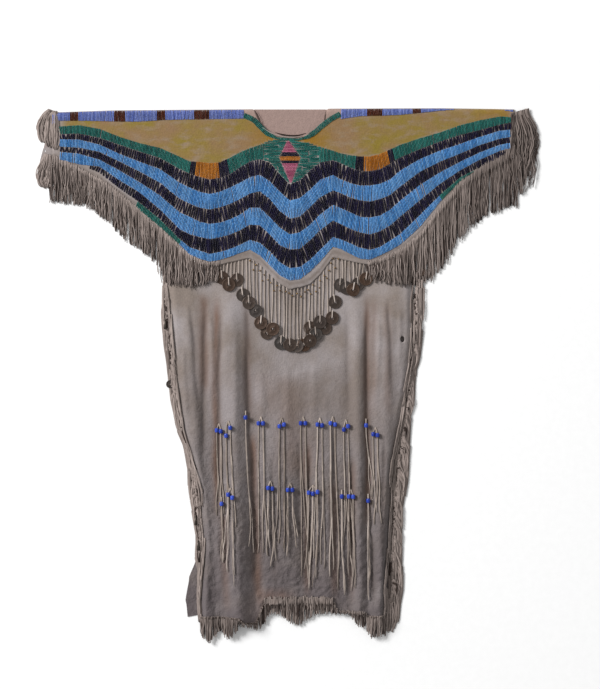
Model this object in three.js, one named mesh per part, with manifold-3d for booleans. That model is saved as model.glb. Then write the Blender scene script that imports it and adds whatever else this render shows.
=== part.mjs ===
// A beaded hide dress, laid flat on its back. Two hides make the body: the
// back one rests on the ground and the front one lies on it. The tail of the
// front hide is turned over at the shoulder into a deep yoke that carries wide
// wavy lanes of beadwork. Cut fringe, coins on thongs and bead-and-thong
// drops are sewn on. Millimetres, +Z up, +Y towards the shoulders, and the
// origin on the ground under the middle of the dress.
//
// Places on the dress are written as u, right of the middle of the neck, and
// v, down from the shoulder line.

import * as THREE from 'three';
import { mergeVertices } from 'three/addons/utils/BufferGeometryUtils.js';
import Module from 'manifold-3d';

const wasm = await Module();
wasm.setup();

// Driving dimensions
const HIDE = 2;
const GAP = 0.3;
const STRAND_THICK = 1.6;
const STRIP_WIDE = 3;
const EDGE_GAP = 1.1;
const U_MIDDLE = -4;
const V_MIDDLE = 638;

const BACK_Z = 0;
const FRONT_Z = BACK_Z + HIDE + GAP;
const YOKE_Z = FRONT_Z + HIDE + GAP;
const FLOOR_Z = 0.4;

const LANE_COUNT = 6;
const LANE_CROWN = 2.2;
const LANE_GROOVE = 0.9;
const STRIP_RISE = 1.2;
const SHOULDER_ROLL = 3.7;
const ROLL_REACH = 9;

const COIN = { radius: 16, hole: 3.2, thick: 1.3, sides: 12 };
const BEAD = { radius: 4.9, half: 5.2, thong: 1.3, sides: 5 };
const CONE = { long: 22, mouth: 4, tip: 1.6, sides: 8 };

const COLOUR = {
  hide: 0x8f8986,
  yoke: 0x8f7847,
  fringe: 0x6f635d,
  thong: 0x877d7b,
  coin: 0x4a3b2e,
  bead: 0x33447c,
  tin: 0x4a4442,
};

// The shoulder line, which is not quite straight
const SHOULDER = [
  { u: -569, v: 6 },
  { u: -420, v: 1 },
  { u: 130, v: -3 },
  { u: 360, v: -4 },
  { u: 538, v: -1 },
];

// The neck edge of the yoke
const NECK = [
  { u: -86, v: 0 },
  { u: -72, v: 33 },
  { u: -48, v: 55 },
  { u: -24, v: 65 },
  { u: 0, v: 68 },
  { u: 24, v: 66 },
  { u: 48, v: 57 },
  { u: 72, v: 42 },
  { u: 82, v: 28 },
  { u: 88, v: 0 },
];

// The yoke at each station: the top of the green lane, the top of the first
// navy lane, the width of a lane, the end of the beads and the hide's edge
const YOKE = [
  { u: -569, green: 38, navy: 59, lane: 15.4, beads: 118, rim: 121 },
  { u: -504, green: 37, navy: 58, lane: 15.8, beads: 134, rim: 149 },
  { u: -456, green: 46, navy: 68, lane: 17, beads: 153, rim: 175 },
  { u: -408, green: 65, navy: 85, lane: 21, beads: 190, rim: 209 },
  { u: -360, green: 80, navy: 101, lane: 24.5, beads: 240, rim: 247 },
  { u: -312, green: 91, navy: 116, lane: 29.3, beads: 281, rim: 290 },
  { u: -276, green: 106, navy: 137, lane: 33.5, beads: 314, rim: 324 },
  { u: -240, green: 124, navy: 154, lane: 35.3, beads: 347, rim: 355 },
  { u: -204, green: 127, navy: 167, lane: 35.5, beads: 363, rim: 373 },
  { u: -168, green: 126, navy: 164, lane: 35.5, beads: 361, rim: 371 },
  { u: -132, green: 108, navy: 148, lane: 36.5, beads: 349, rim: 364 },
  { u: -96, green: 92, navy: 125, lane: 37.5, beads: 337, rim: 355 },
  { u: -72, green: 84, navy: 119, lane: 39.5, beads: 350, rim: 371 },
  { u: -48, green: 74, navy: 127, lane: 42, beads: 374, rim: 396 },
  { u: -24, green: 72, navy: 156, lane: 42, beads: 398, rim: 418 },
  { u: 0, green: 72, navy: 180, lane: 40, beads: 410, rim: 430 },
  { u: 24, green: 76, navy: 170, lane: 41.3, beads: 407, rim: 427 },
  { u: 48, green: 79, navy: 146, lane: 42.5, beads: 389, rim: 419 },
  { u: 72, green: 89, navy: 127, lane: 41.5, beads: 365, rim: 396 },
  { u: 103, green: 98, navy: 122, lane: 36.5, beads: 330, rim: 353 },
  { u: 132, green: 108, navy: 133, lane: 36.5, beads: 341, rim: 360 },
  { u: 187, green: 112, navy: 148, lane: 37.5, beads: 360, rim: 372 },
  { u: 216, green: 106, navy: 143, lane: 37.2, beads: 350, rim: 365 },
  { u: 240, green: 95, navy: 130, lane: 36.7, beads: 338, rim: 355 },
  { u: 276, green: 79, navy: 110, lane: 35.3, beads: 312, rim: 336 },
  { u: 312, green: 68, navy: 95, lane: 31.4, beads: 281, rim: 305 },
  { u: 360, green: 54, navy: 77, lane: 25.4, beads: 221, rim: 245 },
  { u: 408, green: 37, navy: 61, lane: 20, beads: 172, rim: 188 },
  { u: 456, green: 26, navy: 49, lane: 17, beads: 135, rim: 156 },
  { u: 504, green: 18, navy: 36, lane: 15.1, beads: 110, rim: 128 },
  { u: 538, green: 18, navy: 31, lane: 14.5, beads: 100, rim: 113 },
];

// The strip of beads along the shoulder, by its lower edge
const SHOULDER_STRIP = [
  { u: -569, v: 30 },
  { u: -500, v: 27 },
  { u: -300, v: 25 },
  { u: -118, v: 22 },
  { u: 122, v: 23 },
  { u: 216, v: 15 },
  { u: 312, v: 8 },
  { u: 401, v: 3 },
  { u: 538, v: 3 },
];

// Soft waves of the yoke, which lies looser towards its edge
const YOKE_WAVES = [
  { u: -425, half: 60, rise: 3 },
  { u: -205, half: 62, rise: 5 },
  { u: 0, half: 60, rise: 6 },
  { u: 186, half: 52, rise: 5 },
  { u: 420, half: 60, rise: 3 },
];

// The side edges of the front hide, from the shoulder to the hem
const FRONT_SIDES = [
  { v: 11, left: -560, right: 530 },
  { v: 96, left: -560, right: 528 },
  { v: 118, left: -548, right: 496 },
  { v: 150, left: -492, right: 444 },
  { v: 190, left: -428, right: 390 },
  { v: 237, left: -366, right: 348 },
  { v: 280, left: -316, right: 314 },
  { v: 320, left: -299, right: 298 },
  { v: 379, left: -300, right: 293 },
  { v: 456, left: -288, right: 293 },
  { v: 552, left: -283, right: 293 },
  { v: 648, left: -274, right: 283 },
  { v: 768, left: -257, right: 264 },
  { v: 840, left: -235, right: 250 },
  { v: 912, left: -216, right: 244 },
  { v: 1032, left: -206, right: 238 },
  { v: 1104, left: -211, right: 235 },
  { v: 1176, left: -216, right: 232 },
  { v: 1224, left: -214, right: 231 },
];
const FRONT_COLUMNS = 25;
const FRONT_FIRST = 11;
const FRONT_ROWS = [
  96, 118, 150, 190, 237, 280, 320, 379, 430, 480, 540, 600, 670, 740, 810,
  880, 950, 1020, 1090, 1150,
];
const FRONT_LAST = 1217;

// The cut edge of the front hide's hem, above its fringe
const HEM = [
  { u: -216, v: 1217 },
  { u: -122, v: 1217 },
  { u: -108, v: 1229 },
  { u: -82, v: 1230 },
  { u: -62, v: 1184 },
  { u: 104, v: 1182 },
  { u: 116, v: 1207 },
  { u: 174, v: 1207 },
  { u: 186, v: 1214 },
  { u: 232, v: 1214 },
];

// Long soft folds of the skirt, each a ridge from its top to its foot. A fold
// comes to part of its height soon below its top, and to all of it at its foot.
const FOLDS = [
  { uTop: -248, vTop: 430, uFoot: -196, vFoot: 1220, rise: 9, half: 17 },
  { uTop: -146, vTop: 400, uFoot: -120, vFoot: 1230, rise: 24, half: 27 },
  { uTop: -30, vTop: 640, uFoot: -22, vFoot: 1200, rise: 8, half: 46 },
  { uTop: 80, vTop: 700, uFoot: 86, vFoot: 1190, rise: 7, half: 28 },
  { uTop: 160, vTop: 420, uFoot: 168, vFoot: 1210, rise: 14, half: 15 },
  { uTop: 240, vTop: 420, uFoot: 211, vFoot: 1215, rise: 15, half: 20 },
];
const FOLD_FADE = 16;
const FOLD_ONSET = { share: 0.35, over: 0.15 };

// The back hide's outline, clockwise from the left end of the shoulder
const BACK_OUTLINE = [
  [-566, 12], [-420, 7], [130, 3], [360, 2], [531, 5], [534, 98], [500, 114],
  [450, 145], [402, 176], [354, 236], [320, 278], [303, 312], [297, 379],
  [296, 552], [286, 648], [267, 768], [253, 840], [247, 912], [241, 1032],
  [238, 1104], [236, 1206], [190, 1195], [100, 1172], [0, 1160], [-100, 1180],
  [-205, 1208], [-246, 1216], [-250, 1176], [-241, 1120], [-229, 1088], [-214, 1056],
  [-209, 1032], [-219, 912], [-238, 840], [-260, 768], [-277, 648],
  [-286, 552], [-291, 456], [-303, 379], [-302, 320], [-320, 282],
  [-368, 240], [-430, 192], [-500, 176], [-578, 179], [-601, 176], [-606, 150],
  [-598, 116], [-588, 80], [-580, 40],
];

// The places of that outline along the right and the left seam, downwards
const BACK_RIGHT = [12, 13, 14, 15, 16, 17, 18, 19, 20];
const BACK_LEFT = [38, 37, 36, 35, 34, 33, 32, 31, 30, 29, 28, 27, 26];

// Holes worn through the hides
const HOLES = [
  { hide: 'back', u: -588, v: 98, wide: 5, tall: 4.6 },
  { hide: 'front', u: 269, v: 552, wide: 7, tall: 14 },
];
const HOLE_SIDES = 8;

// Where the fringe of the sleeves ends, below the yoke's edge
const SLEEVE_TIPS = [
  { u: -569, v: 226 },
  { u: -492, v: 232 },
  { u: -432, v: 275 },
  { u: -384, v: 325 },
  { u: -324, v: 366 },
  { u: -300, v: 418 },
  { u: -240, v: 430 },
  { u: -180, v: 416 },
  { u: 192, v: 414 },
  { u: 293, v: 427 },
  { u: 336, v: 412 },
  { u: 365, v: 380 },
  { u: 396, v: 324 },
  { u: 432, v: 284 },
  { u: 475, v: 256 },
  { u: 538, v: 234 },
];
const SLEEVE_FRINGE = [
  { name: 'fringe_sleeve_left', from: -556, to: -178, count: 44 },
  { name: 'fringe_sleeve_right', from: 194, to: 530, count: 40 },
];
const STRAND_WIDE = 3.2;

// Strands end unevenly and sway a little, in a run that repeats
const SLEEVE_SHORTER = [0, 2.3, 4.7, 7];
const SLEEVE_SWAY = { most: 1.6, turn: 0.55 };
const SIDE_SHORTER = [0, 6.8, 2.2, 9, 4.5];
const SIDE_SWAY = { most: 1.5, turn: 1.7 };
const HEM_TURN = 2.1;

// The middle thongs, in width and in the edge of their strip beside them
const THONG_WIDE = 2.4;
const THONG_EDGE = 8;

// Cuff fringe: its strip runs down the sleeve's end and its strands nest
const CUFFS = [
  {
    name: 'fringe_cuff_left',
    side: -1,
    edge: -569.7,
    top: 12,
    foot: 104,
    out: 606,
    tip: 224,
    count: 7,
    pitch: 4.6,
  },
  {
    name: 'fringe_cuff_right',
    side: 1,
    edge: 538.7,
    top: 6,
    foot: 92,
    out: 598,
    tip: 232,
    count: 8,
    pitch: 6.4,
  },
];

// Side fringe: roots along the seam, a strand's length and how far it stands off
const SIDES = [
  {
    name: 'fringe_side_left',
    side: -1,
    gap: 1.5,
    from: 446,
    to: 1190,
    count: 22,
    long: 62,
    reach: 17,
  },
  {
    name: 'fringe_side_right',
    side: 1,
    gap: 0.8,
    from: 446,
    to: 1180,
    count: 22,
    long: 62,
    reach: 17,
  },
];
const SIDE_ROOT = 6;
const SIDE_BEND = { down: 24, reach: 11 };

// Hem fringe: groups of strands on one strip that follows the hem
const HEM_TIPS = [
  { from: -213, to: -126, count: 8, tips: [1266, 1282, 1252, 1274, 1242] },
  { from: -58, to: 100, count: 15, tips: [1244, 1228, 1206, 1208, 1234, 1240, 1216] },
  { from: 186, to: 230, count: 5, tips: [1254, 1262, 1272, 1266] },
];
const HEM_STRAND = 7;
const HEM_DROP = 0.7;

// Coins at the ends of the yoke's middle thongs
const COINS = [
  { u: -163, v: 403 },
  { u: -146, v: 420 },
  { u: -127, v: 408 },
  { u: -113, v: 444 },
  { u: -98, v: 463 },
  { u: -82, v: 482 },
  { u: -70, v: 511 },
  { u: -55, v: 535 },
  { u: -41, v: 526 },
  { u: -22, v: 559 },
  { u: 0, v: 564 },
  { u: 17, v: 566 },
  { u: 34, v: 564 },
  { u: 48, v: 554 },
  { u: 48, v: 523 },
  { u: 62, v: 538 },
  { u: 72, v: 509 },
  { u: 84, v: 523 },
  { u: 101, v: 499 },
  { u: 108, v: 461 },
  { u: 120, v: 420 },
  { u: 134, v: 427 },
  { u: 151, v: 432 },
  { u: 163, v: 418 },
  { u: 182, v: 406 },
];

// Blue beads on thongs, drawn through the skirt in two rows: the beads' places
// and, for each, how far its thong hangs and drifts
const DROPS = [
  { name: 'drop_upper_01', beads: [[-175, 768, 236, 6], [-165, 770, 212, 8]] },
  { name: 'drop_upper_02', beads: [[-152, 780, 200, 4], [-142, 761, 262, 10]] },
  { name: 'drop_upper_03', beads: [[-106, 737, 330, 16]] },
  { name: 'drop_upper_04', beads: [[-75, 751, 330, 2], [-64, 751, 320, 8]] },
  { name: 'drop_upper_05', beads: [[-25, 758, 300, -2], [-14, 754, 322, 4]] },
  { name: 'drop_upper_06', beads: [[26, 751, 368, 4], [37, 751, 340, 10]] },
  { name: 'drop_upper_07', beads: [[66, 754, 330, -6], [77, 756, 348, 6]] },
  { name: 'drop_upper_08', beads: [[97, 751, 372, 2], [108, 754, 400, 8]] },
  { name: 'drop_upper_09', beads: [[129, 766, 300, 4], [139, 758, 326, 10]] },
  { name: 'drop_upper_10', beads: [[182, 756, 186, 14]] },
  { name: 'drop_upper_11', beads: [[199, 777, 190, 0], [209, 779, 236, 2]] },
  { name: 'drop_lower_01', beads: [[-163, 943, 150, 4]] },
  { name: 'drop_lower_02', beads: [[-147, 920, 196, -4], [-137, 927, 222, 4]] },
  { name: 'drop_lower_03', beads: [[-52, 905, 170, 0], [-42, 907, 196, 6]] },
  { name: 'drop_lower_04', beads: [[-5, 910, 166, -4], [6, 910, 150, 4]] },
  { name: 'drop_lower_05', beads: [[45, 917, 210, -4], [55, 919, 244, 0], [66, 915, 230, 5]] },
  { name: 'drop_lower_06', beads: [[124, 926, 246, 2]] },
  { name: 'drop_lower_07', beads: [[141, 926, 220, -3], [151, 926, 250, 4]] },
  { name: 'drop_lower_08', beads: [[187, 936, 254, 2]] },
];
const DROP_STEP = 58;
const DROP_TIE = 16;
const DROP_SWING = 2.5;

// Trinkets along the side seams
const TRINKETS = [
  { name: 'side_disc_left', kind: 'disc', u: -287, v: 658 },
  { name: 'side_cone_1', kind: 'cone', u: -299, v: 514 },
  { name: 'side_cone_2', kind: 'cone', u: -226, v: 984 },
  { name: 'side_cone_3', kind: 'cone', u: -220, v: 1044 },
  { name: 'side_coin_right', kind: 'disc', u: 314, v: 389 },
];
const DISC = { radius: 10, hole: 2.2, thick: 1.3, sides: 12 };
const DISC_REST = 0.1;
const COIN_TURN = 0.7;

const smooth = (t) => {
  const c = Math.min(Math.max(t, 0), 1);
  return c * c * (3 - 2 * c);
};

const mix = (a, b, t) => a + (b - a) * t;

// Reads a column of a table between its rows
function along(table, key, column, value) {
  if (value <= table[0][key]) return table[0][column];
  for (let i = 1; i < table.length; i += 1) {
    const a = table[i - 1];
    const b = table[i];
    if (value <= b[key]) {
      return mix(a[column], b[column], (value - a[key]) / (b[key] - a[key]));
    }
  }
  return table[table.length - 1][column];
}

const place = (u, v, z) => new THREE.Vector3(u - U_MIDDLE, V_MIDDLE - v, z);
const shoulder = (u) => along(SHOULDER, 'u', 'v', u);
const rim = (u) => along(YOKE, 'u', 'rim', u);

// Collects triangles over shared points
class Shell {
  constructor() {
    this.points = [];
    this.faces = [];
  }

  add(point) {
    this.points.push(point);
    return this.points.length - 1;
  }

  // A four-sided face, its corners counterclockwise from outside
  quad(a, b, c, d) {
    this.faces.push([a, b, c], [a, c, d]);
  }

  geometry() {
    const numbers = this.points.flatMap((p) => [p.x, p.y, p.z]);
    const geometry = new THREE.BufferGeometry();
    geometry.setAttribute('position', new THREE.Float32BufferAttribute(numbers, 3));
    geometry.setIndex(this.faces.flat());
    geometry.computeVertexNormals();
    return geometry;
  }
}

// A wall of cloth over rows of places, with an upper and a lower height each
function wall(rows) {
  const shell = new Shell();
  const top = rows.map((row) => row.map((p) => shell.add(place(p.u, p.v, p.high))));
  const low = rows.map((row) => row.map((p) => shell.add(place(p.u, p.v, p.low))));
  const lastRow = rows.length - 1;
  const lastColumn = rows[0].length - 1;
  for (let j = 0; j < lastRow; j += 1) {
    for (let i = 0; i < lastColumn; i += 1) {
      shell.quad(top[j][i], top[j + 1][i], top[j + 1][i + 1], top[j][i + 1]);
      shell.quad(low[j][i], low[j][i + 1], low[j + 1][i + 1], low[j + 1][i]);
    }
    shell.quad(top[j][0], low[j][0], low[j + 1][0], top[j + 1][0]);
    const e = lastColumn;
    shell.quad(top[j][e], top[j + 1][e], low[j + 1][e], low[j][e]);
  }
  for (let i = 0; i < lastColumn; i += 1) {
    shell.quad(top[0][i], top[0][i + 1], low[0][i + 1], low[0][i]);
    const e = lastRow;
    shell.quad(top[e][i], low[e][i], low[e][i + 1], top[e][i + 1]);
  }
  return shell.geometry();
}

function toSolid(geometry) {
  const plain = new THREE.BufferGeometry();
  plain.setAttribute('position', geometry.getAttribute('position').clone());
  if (geometry.index) plain.setIndex(geometry.index.clone());
  const merged = mergeVertices(plain, 1e-4);
  const mesh = new wasm.Mesh({
    numProp: 3,
    vertProperties: new Float32Array(merged.getAttribute('position').array),
    triVerts: new Uint32Array(merged.index.array),
  });
  return new wasm.Manifold(mesh);
}

function fromSolid(solid) {
  const mesh = solid.getMesh();
  const geometry = new THREE.BufferGeometry();
  geometry.setAttribute('position', new THREE.BufferAttribute(mesh.vertProperties, 3));
  geometry.setIndex(new THREE.BufferAttribute(mesh.triVerts, 1));
  geometry.computeVertexNormals();
  return geometry;
}

// A flat piece cut to an outline of places
function plate(outline, z, thick) {
  const corner = ([u, v]) => new THREE.Vector2(u - U_MIDDLE, V_MIDDLE - v);
  const shape = new THREE.Shape(outline.map(corner));
  const geometry = new THREE.ExtrudeGeometry(shape, { depth: thick, bevelEnabled: false });
  return geometry.translate(0, 0, z);
}

// Cuts the worn holes of one hide through it
function worn(geometry, hide) {
  let solid = toSolid(geometry);
  for (const hole of HOLES.filter((h) => h.hide === hide)) {
    const outline = [];
    for (let i = 0; i < HOLE_SIDES; i += 1) {
      const turn = (-2 * Math.PI * i) / HOLE_SIDES;
      const du = (Math.cos(turn) * hole.wide) / 2;
      const dv = (Math.sin(turn) * hole.tall) / 2;
      outline.push([hole.u + du, hole.v + dv]);
    }
    solid = solid.subtract(toSolid(plate(outline, -1, FRONT_Z + 60)));
  }
  return fromSolid(solid);
}

const group = new THREE.Group();
group.name = 'beaded_hide_dress';

const finish = {};
for (const [name, color] of Object.entries(COLOUR)) {
  const metal = name === 'coin' || name === 'tin';
  finish[name] = new THREE.MeshStandardMaterial({
    name,
    color,
    roughness: metal ? 0.55 : 0.9,
    metalness: metal ? 1 : 0,
  });
}

function addPiece(name, geometry, material) {
  const mesh = new THREE.Mesh(geometry, finish[material]);
  mesh.name = name;
  mesh.updateMatrixWorld(true);
  group.add(mesh);
  return mesh;
}

// Back hide
addPiece('back_hide', worn(plate(BACK_OUTLINE, BACK_Z, HIDE), 'back'), 'hide');

// Height of the front hide above its flat state
function foldRise(u, v) {
  const left = along(FRONT_SIDES, 'v', 'left', v);
  const right = along(FRONT_SIDES, 'v', 'right', v);
  const edge = smooth((u - left) / FOLD_FADE) * smooth((right - u) / FOLD_FADE);
  let rise = 0;
  for (const fold of FOLDS) {
    const t = (v - fold.vTop) / (fold.vFoot - fold.vTop);
    const across = (u - mix(fold.uTop, fold.uFoot, t)) / fold.half;
    const grown = mix(smooth(t), smooth(t / FOLD_ONSET.over), FOLD_ONSET.share);
    rise += fold.rise * grown * Math.exp(-across * across);
  }
  return rise * edge;
}

// Front hide: under the yoke, out into the sleeves and down to the hem. Its
// own neck edge stays hidden behind the yoke's.
const FRONT_NECK = { half: 72, fade: 50, v: 90 };

function frontTop(u) {
  const inside = smooth((FRONT_NECK.half + FRONT_NECK.fade - Math.abs(u)) / FRONT_NECK.fade);
  return mix(shoulder(u) + ROLL_REACH + 2, FRONT_NECK.v, inside);
}

function frontRow(v, lineOf) {
  const left = along(FRONT_SIDES, 'v', 'left', v);
  const right = along(FRONT_SIDES, 'v', 'right', v);
  const row = [];
  for (let i = 0; i <= FRONT_COLUMNS; i += 1) {
    const u = mix(left, right, i / FRONT_COLUMNS);
    const vHere = lineOf(u);
    const low = FRONT_Z + foldRise(u, vHere);
    row.push({ u, v: vHere, low, high: low + HIDE });
  }
  return row;
}

const frontRows = [
  frontRow(FRONT_FIRST, frontTop),
  ...FRONT_ROWS.map((v) => frontRow(v, () => v)),
  frontRow(FRONT_LAST, (u) => along(HEM, 'u', 'v', u)),
];
addPiece('front_hide', worn(wall(frontRows), 'front'), 'hide');

// Yoke: the turned-over flap, with its lanes of beads raised in the outer face
function yokeWave(u, v) {
  let rise = 0;
  for (const wave of YOKE_WAVES) {
    const across = (u - wave.u) / wave.half;
    rise += wave.rise * Math.exp(-across * across);
  }
  return rise * smooth((v - ROLL_REACH) / (rim(u) - ROLL_REACH));
}

const EDGE = 2;
const LEAST_ROW = 1.2;

// The rows of one column of the yoke: how far down each is, and how far the
// beads stand up from the hide there
function yokeColumn(station) {
  const { u } = station;
  const neck = u >= NECK[0].u && u <= NECK[NECK.length - 1].u;
  const top = neck ? along(NECK, 'u', 'v', u) : shoulder(u);
  const strip = along(SHOULDER_STRIP, 'u', 'v', u);
  const onStrip = neck ? 0 : STRIP_RISE;
  const rows = [
    { v: top, bead: 0, roll: neck ? 0 : SHOULDER_ROLL },
    { v: top + ROLL_REACH, bead: onStrip, roll: 0 },
    { v: Math.max(strip, top + ROLL_REACH + EDGE), bead: onStrip, roll: 0 },
    { v: Math.max(strip, top + ROLL_REACH + EDGE) + EDGE, bead: 0, roll: 0 },
    { v: station.green - EDGE, bead: 0, roll: 0 },
    { v: station.green + EDGE, bead: LANE_CROWN, roll: 0 },
  ];
  for (let k = 0; k < LANE_COUNT; k += 1) {
    const v = station.navy + k * station.lane;
    rows.push({ v, bead: LANE_GROOVE, roll: 0 });
    const middle = Math.min(v + station.lane / 2, station.beads - EDGE);
    rows.push({ v: middle, bead: LANE_CROWN, roll: 0 });
  }
  rows.push({ v: station.beads, bead: 0, roll: 0 });
  rows.push({ v: station.rim, bead: 0, roll: 0 });
  for (let j = rows.length - 2; j >= 0; j -= 1) {
    rows[j].v = Math.min(rows[j].v, rows[j + 1].v - LEAST_ROW);
  }
  return rows.map(({ v, bead, roll }) => {
    const low = YOKE_Z + yokeWave(u, v) - roll;
    return { u, v, low, high: low + HIDE + bead };
  });
}

const stationAt = (u) => ({
  u,
  green: along(YOKE, 'u', 'green', u),
  navy: along(YOKE, 'u', 'navy', u),
  lane: along(YOKE, 'u', 'lane', u),
  beads: along(YOKE, 'u', 'beads', u),
  rim: rim(u),
});

const yokeStations = [...new Set([...YOKE, ...NECK].map((s) => s.u))].sort((a, b) => a - b);
const yokeColumns = yokeStations.map((u) => yokeColumn(stationAt(u)));
const yokeRows = yokeColumns[0].map((_, j) => yokeColumns.map((column) => column[j]));
addPiece('front_yoke', wall(yokeRows), 'yoke');

// How high a layer reaches at a place, or -1 beside it
function onBack(u, v) {
  let inside = false;
  BACK_OUTLINE.forEach(([u1, v1], i) => {
    const [u0, v0] = BACK_OUTLINE[(i || BACK_OUTLINE.length) - 1];
    if (v1 > v !== v0 > v && u < mix(u1, u0, (v - v1) / (v0 - v1))) inside = !inside;
  });
  return inside ? BACK_Z + HIDE : -1;
}

function onFront(u, v) {
  const edges = frontRows.map((row) => along(row, 'u', 'v', u));
  const j = edges.findIndex((edge, n) => v >= edge && v <= edges[n + 1]);
  if (j < 0) return -1;
  const t = (v - edges[j]) / (edges[j + 1] - edges[j]);
  const left = mix(frontRows[j][0].u, frontRows[j + 1][0].u, t);
  const right = mix(frontRows[j].at(-1).u, frontRows[j + 1].at(-1).u, t);
  const across = ((u - left) / (right - left)) * FRONT_COLUMNS;
  if (across < 0 || across > FRONT_COLUMNS) return -1;
  const i = Math.min(Math.floor(across), FRONT_COLUMNS - 1);
  const s = across - i;
  const a = frontRows[j][i].high;
  const b = frontRows[j][i + 1].high;
  const c = frontRows[j + 1][i + 1].high;
  const d = frontRows[j + 1][i].high;
  return t > s ? a + s * (c - d) + t * (d - a) : a + s * (b - a) + t * (c - b);
}

const ray = new THREE.Raycaster();
const DOWN = new THREE.Vector3(0, 0, -1);
const LOOK_FROM = 200;

const onMesh = (mesh) => (u, v) => {
  ray.set(place(u, v, LOOK_FROM), DOWN);
  const hits = ray.intersectObject(mesh, false);
  return hits.length ? hits[0].point.z : -1;
};

// The height at which a thing rests at a place on the layers under it
const heightOn = (layers, u, v) =>
  Math.max(FLOOR_Z, ...layers.map((layer) => layer(u, v) + GAP));

const SAMPLE_STEP = 1;

// Lays a strand's line of places on what is under it: each point rests on the
// highest thing within the strand's width, and so does each stretch between
function lay(line, layers, halfAt) {
  const laid = line.map((p) => ({ ...p, z: p.z ?? heightOn(layers, p.u, p.v) }));
  for (let pass = 0; pass < 2; pass += 1) {
    for (let i = 1; i < laid.length; i += 1) {
      const a = laid[i - 1];
      const b = laid[i];
      const held = i === 1;
      const samples = Math.max(3, Math.ceil(Math.hypot(b.u - a.u, b.v - a.v) / SAMPLE_STEP));
      let lift = 0;
      for (let k = 0; k <= samples; k += 1) {
        const t = k / samples;
        const half = mix(halfAt(a), halfAt(b), t);
        for (const side of [-1, -0.5, 0, 0.5, 1]) {
          const need = heightOn(layers, mix(a.u, b.u, t) + side * half, mix(a.v, b.v, t));
          const short = need - mix(a.z, b.z, t);
          lift = Math.max(lift, held ? short / Math.max(t, 0.2) : short);
        }
      }
      if (!held) a.z += lift;
      b.z += lift;
    }
  }
  return laid;
}

// A fringe: a narrow strip whose outer edge runs on into strands. The strip is
// walked so that its strands are on the right-hand side.
function fringe(name, points, strands, material, layers) {
  const shell = new Shell();
  const posts = points.map((p) => ({
    innerLow: shell.add(place(p.inner[0], p.inner[1], p.z)),
    innerHigh: shell.add(place(p.inner[0], p.inner[1], p.z + STRAND_THICK)),
    low: shell.add(place(p.outer[0], p.outer[1], p.z)),
    high: shell.add(place(p.outer[0], p.outer[1], p.z + STRAND_THICK)),
  }));
  for (let i = 0; i + 1 < posts.length; i += 1) {
    const a = posts[i];
    const b = posts[i + 1];
    shell.quad(a.innerHigh, a.high, b.high, b.innerHigh);
    shell.quad(a.innerLow, b.innerLow, b.low, a.low);
    shell.quad(a.innerHigh, b.innerHigh, b.innerLow, a.innerLow);
    if (strands[i]) {
      addStrand(shell, a, b, points[i], points[i + 1], strands[i], layers);
    } else {
      shell.quad(a.high, a.low, b.low, b.high);
    }
  }
  const first = posts[0];
  const last = posts[posts.length - 1];
  shell.quad(first.innerHigh, first.innerLow, first.low, first.high);
  shell.quad(last.innerHigh, last.high, last.low, last.innerLow);
  return addPiece(name, shell.geometry(), material);
}

// One strand, from the strip's edge between two posts to its cut end
function addStrand(shell, a, b, from, to, strand, layers) {
  const u = (from.outer[0] + to.outer[0]) / 2;
  const v = (from.outer[1] + to.outer[1]) / 2;
  const line = [{ u, v, z: (from.z + to.z) / 2 }, ...strand.line];
  const laid = lay(line, layers, () => strand.wide / 2 + GAP);
  let ring = { leftLow: a.low, leftHigh: a.high, rightLow: b.low, rightHigh: b.high };
  for (let k = 1; k < laid.length; k += 1) {
    const du = laid[k].u - laid[k - 1].u;
    const dv = laid[k].v - laid[k - 1].v;
    const size = Math.hypot(du, dv);
    const half = strand.wide / 2;
    const su = (dv / size) * half;
    const sv = (-du / size) * half;
    const { z } = laid[k];
    const next = {
      leftLow: shell.add(place(laid[k].u - su, laid[k].v - sv, z)),
      leftHigh: shell.add(place(laid[k].u - su, laid[k].v - sv, z + STRAND_THICK)),
      rightLow: shell.add(place(laid[k].u + su, laid[k].v + sv, z)),
      rightHigh: shell.add(place(laid[k].u + su, laid[k].v + sv, z + STRAND_THICK)),
    };
    shell.quad(ring.leftHigh, next.leftHigh, next.rightHigh, ring.rightHigh);
    shell.quad(ring.leftLow, ring.rightLow, next.rightLow, next.leftLow);
    shell.quad(ring.leftHigh, ring.leftLow, next.leftLow, next.leftHigh);
    shell.quad(ring.rightHigh, next.rightHigh, next.rightLow, ring.rightLow);
    ring = next;
  }
  shell.quad(ring.leftHigh, ring.leftLow, ring.rightLow, ring.rightHigh);
}

const hides = [onBack, onFront];

// The posts of a strip that hangs under the yoke's edge, moved down where the
// edge bulges between two of them
function rimPosts(stations) {
  const down = stations.map((u) => rim(u) + EDGE_GAP);
  for (let i = 1; i < stations.length; i += 1) {
    for (const { u } of YOKE.filter((s) => s.u > stations[i - 1] && s.u < stations[i])) {
      const t = (u - stations[i - 1]) / (stations[i] - stations[i - 1]);
      const bulge = rim(u) + EDGE_GAP - mix(down[i - 1], down[i], t);
      if (bulge > 0) {
        down[i - 1] += bulge;
        down[i] += bulge;
      }
    }
  }
  return stations.map((u, i) => {
    const v = down[i];
    const z = Math.max(YOKE_Z + yokeWave(u, rim(u)), heightOn(hides, u, v));
    return { inner: [u, v], outer: [u, v + STRIP_WIDE], z };
  });
}

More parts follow.
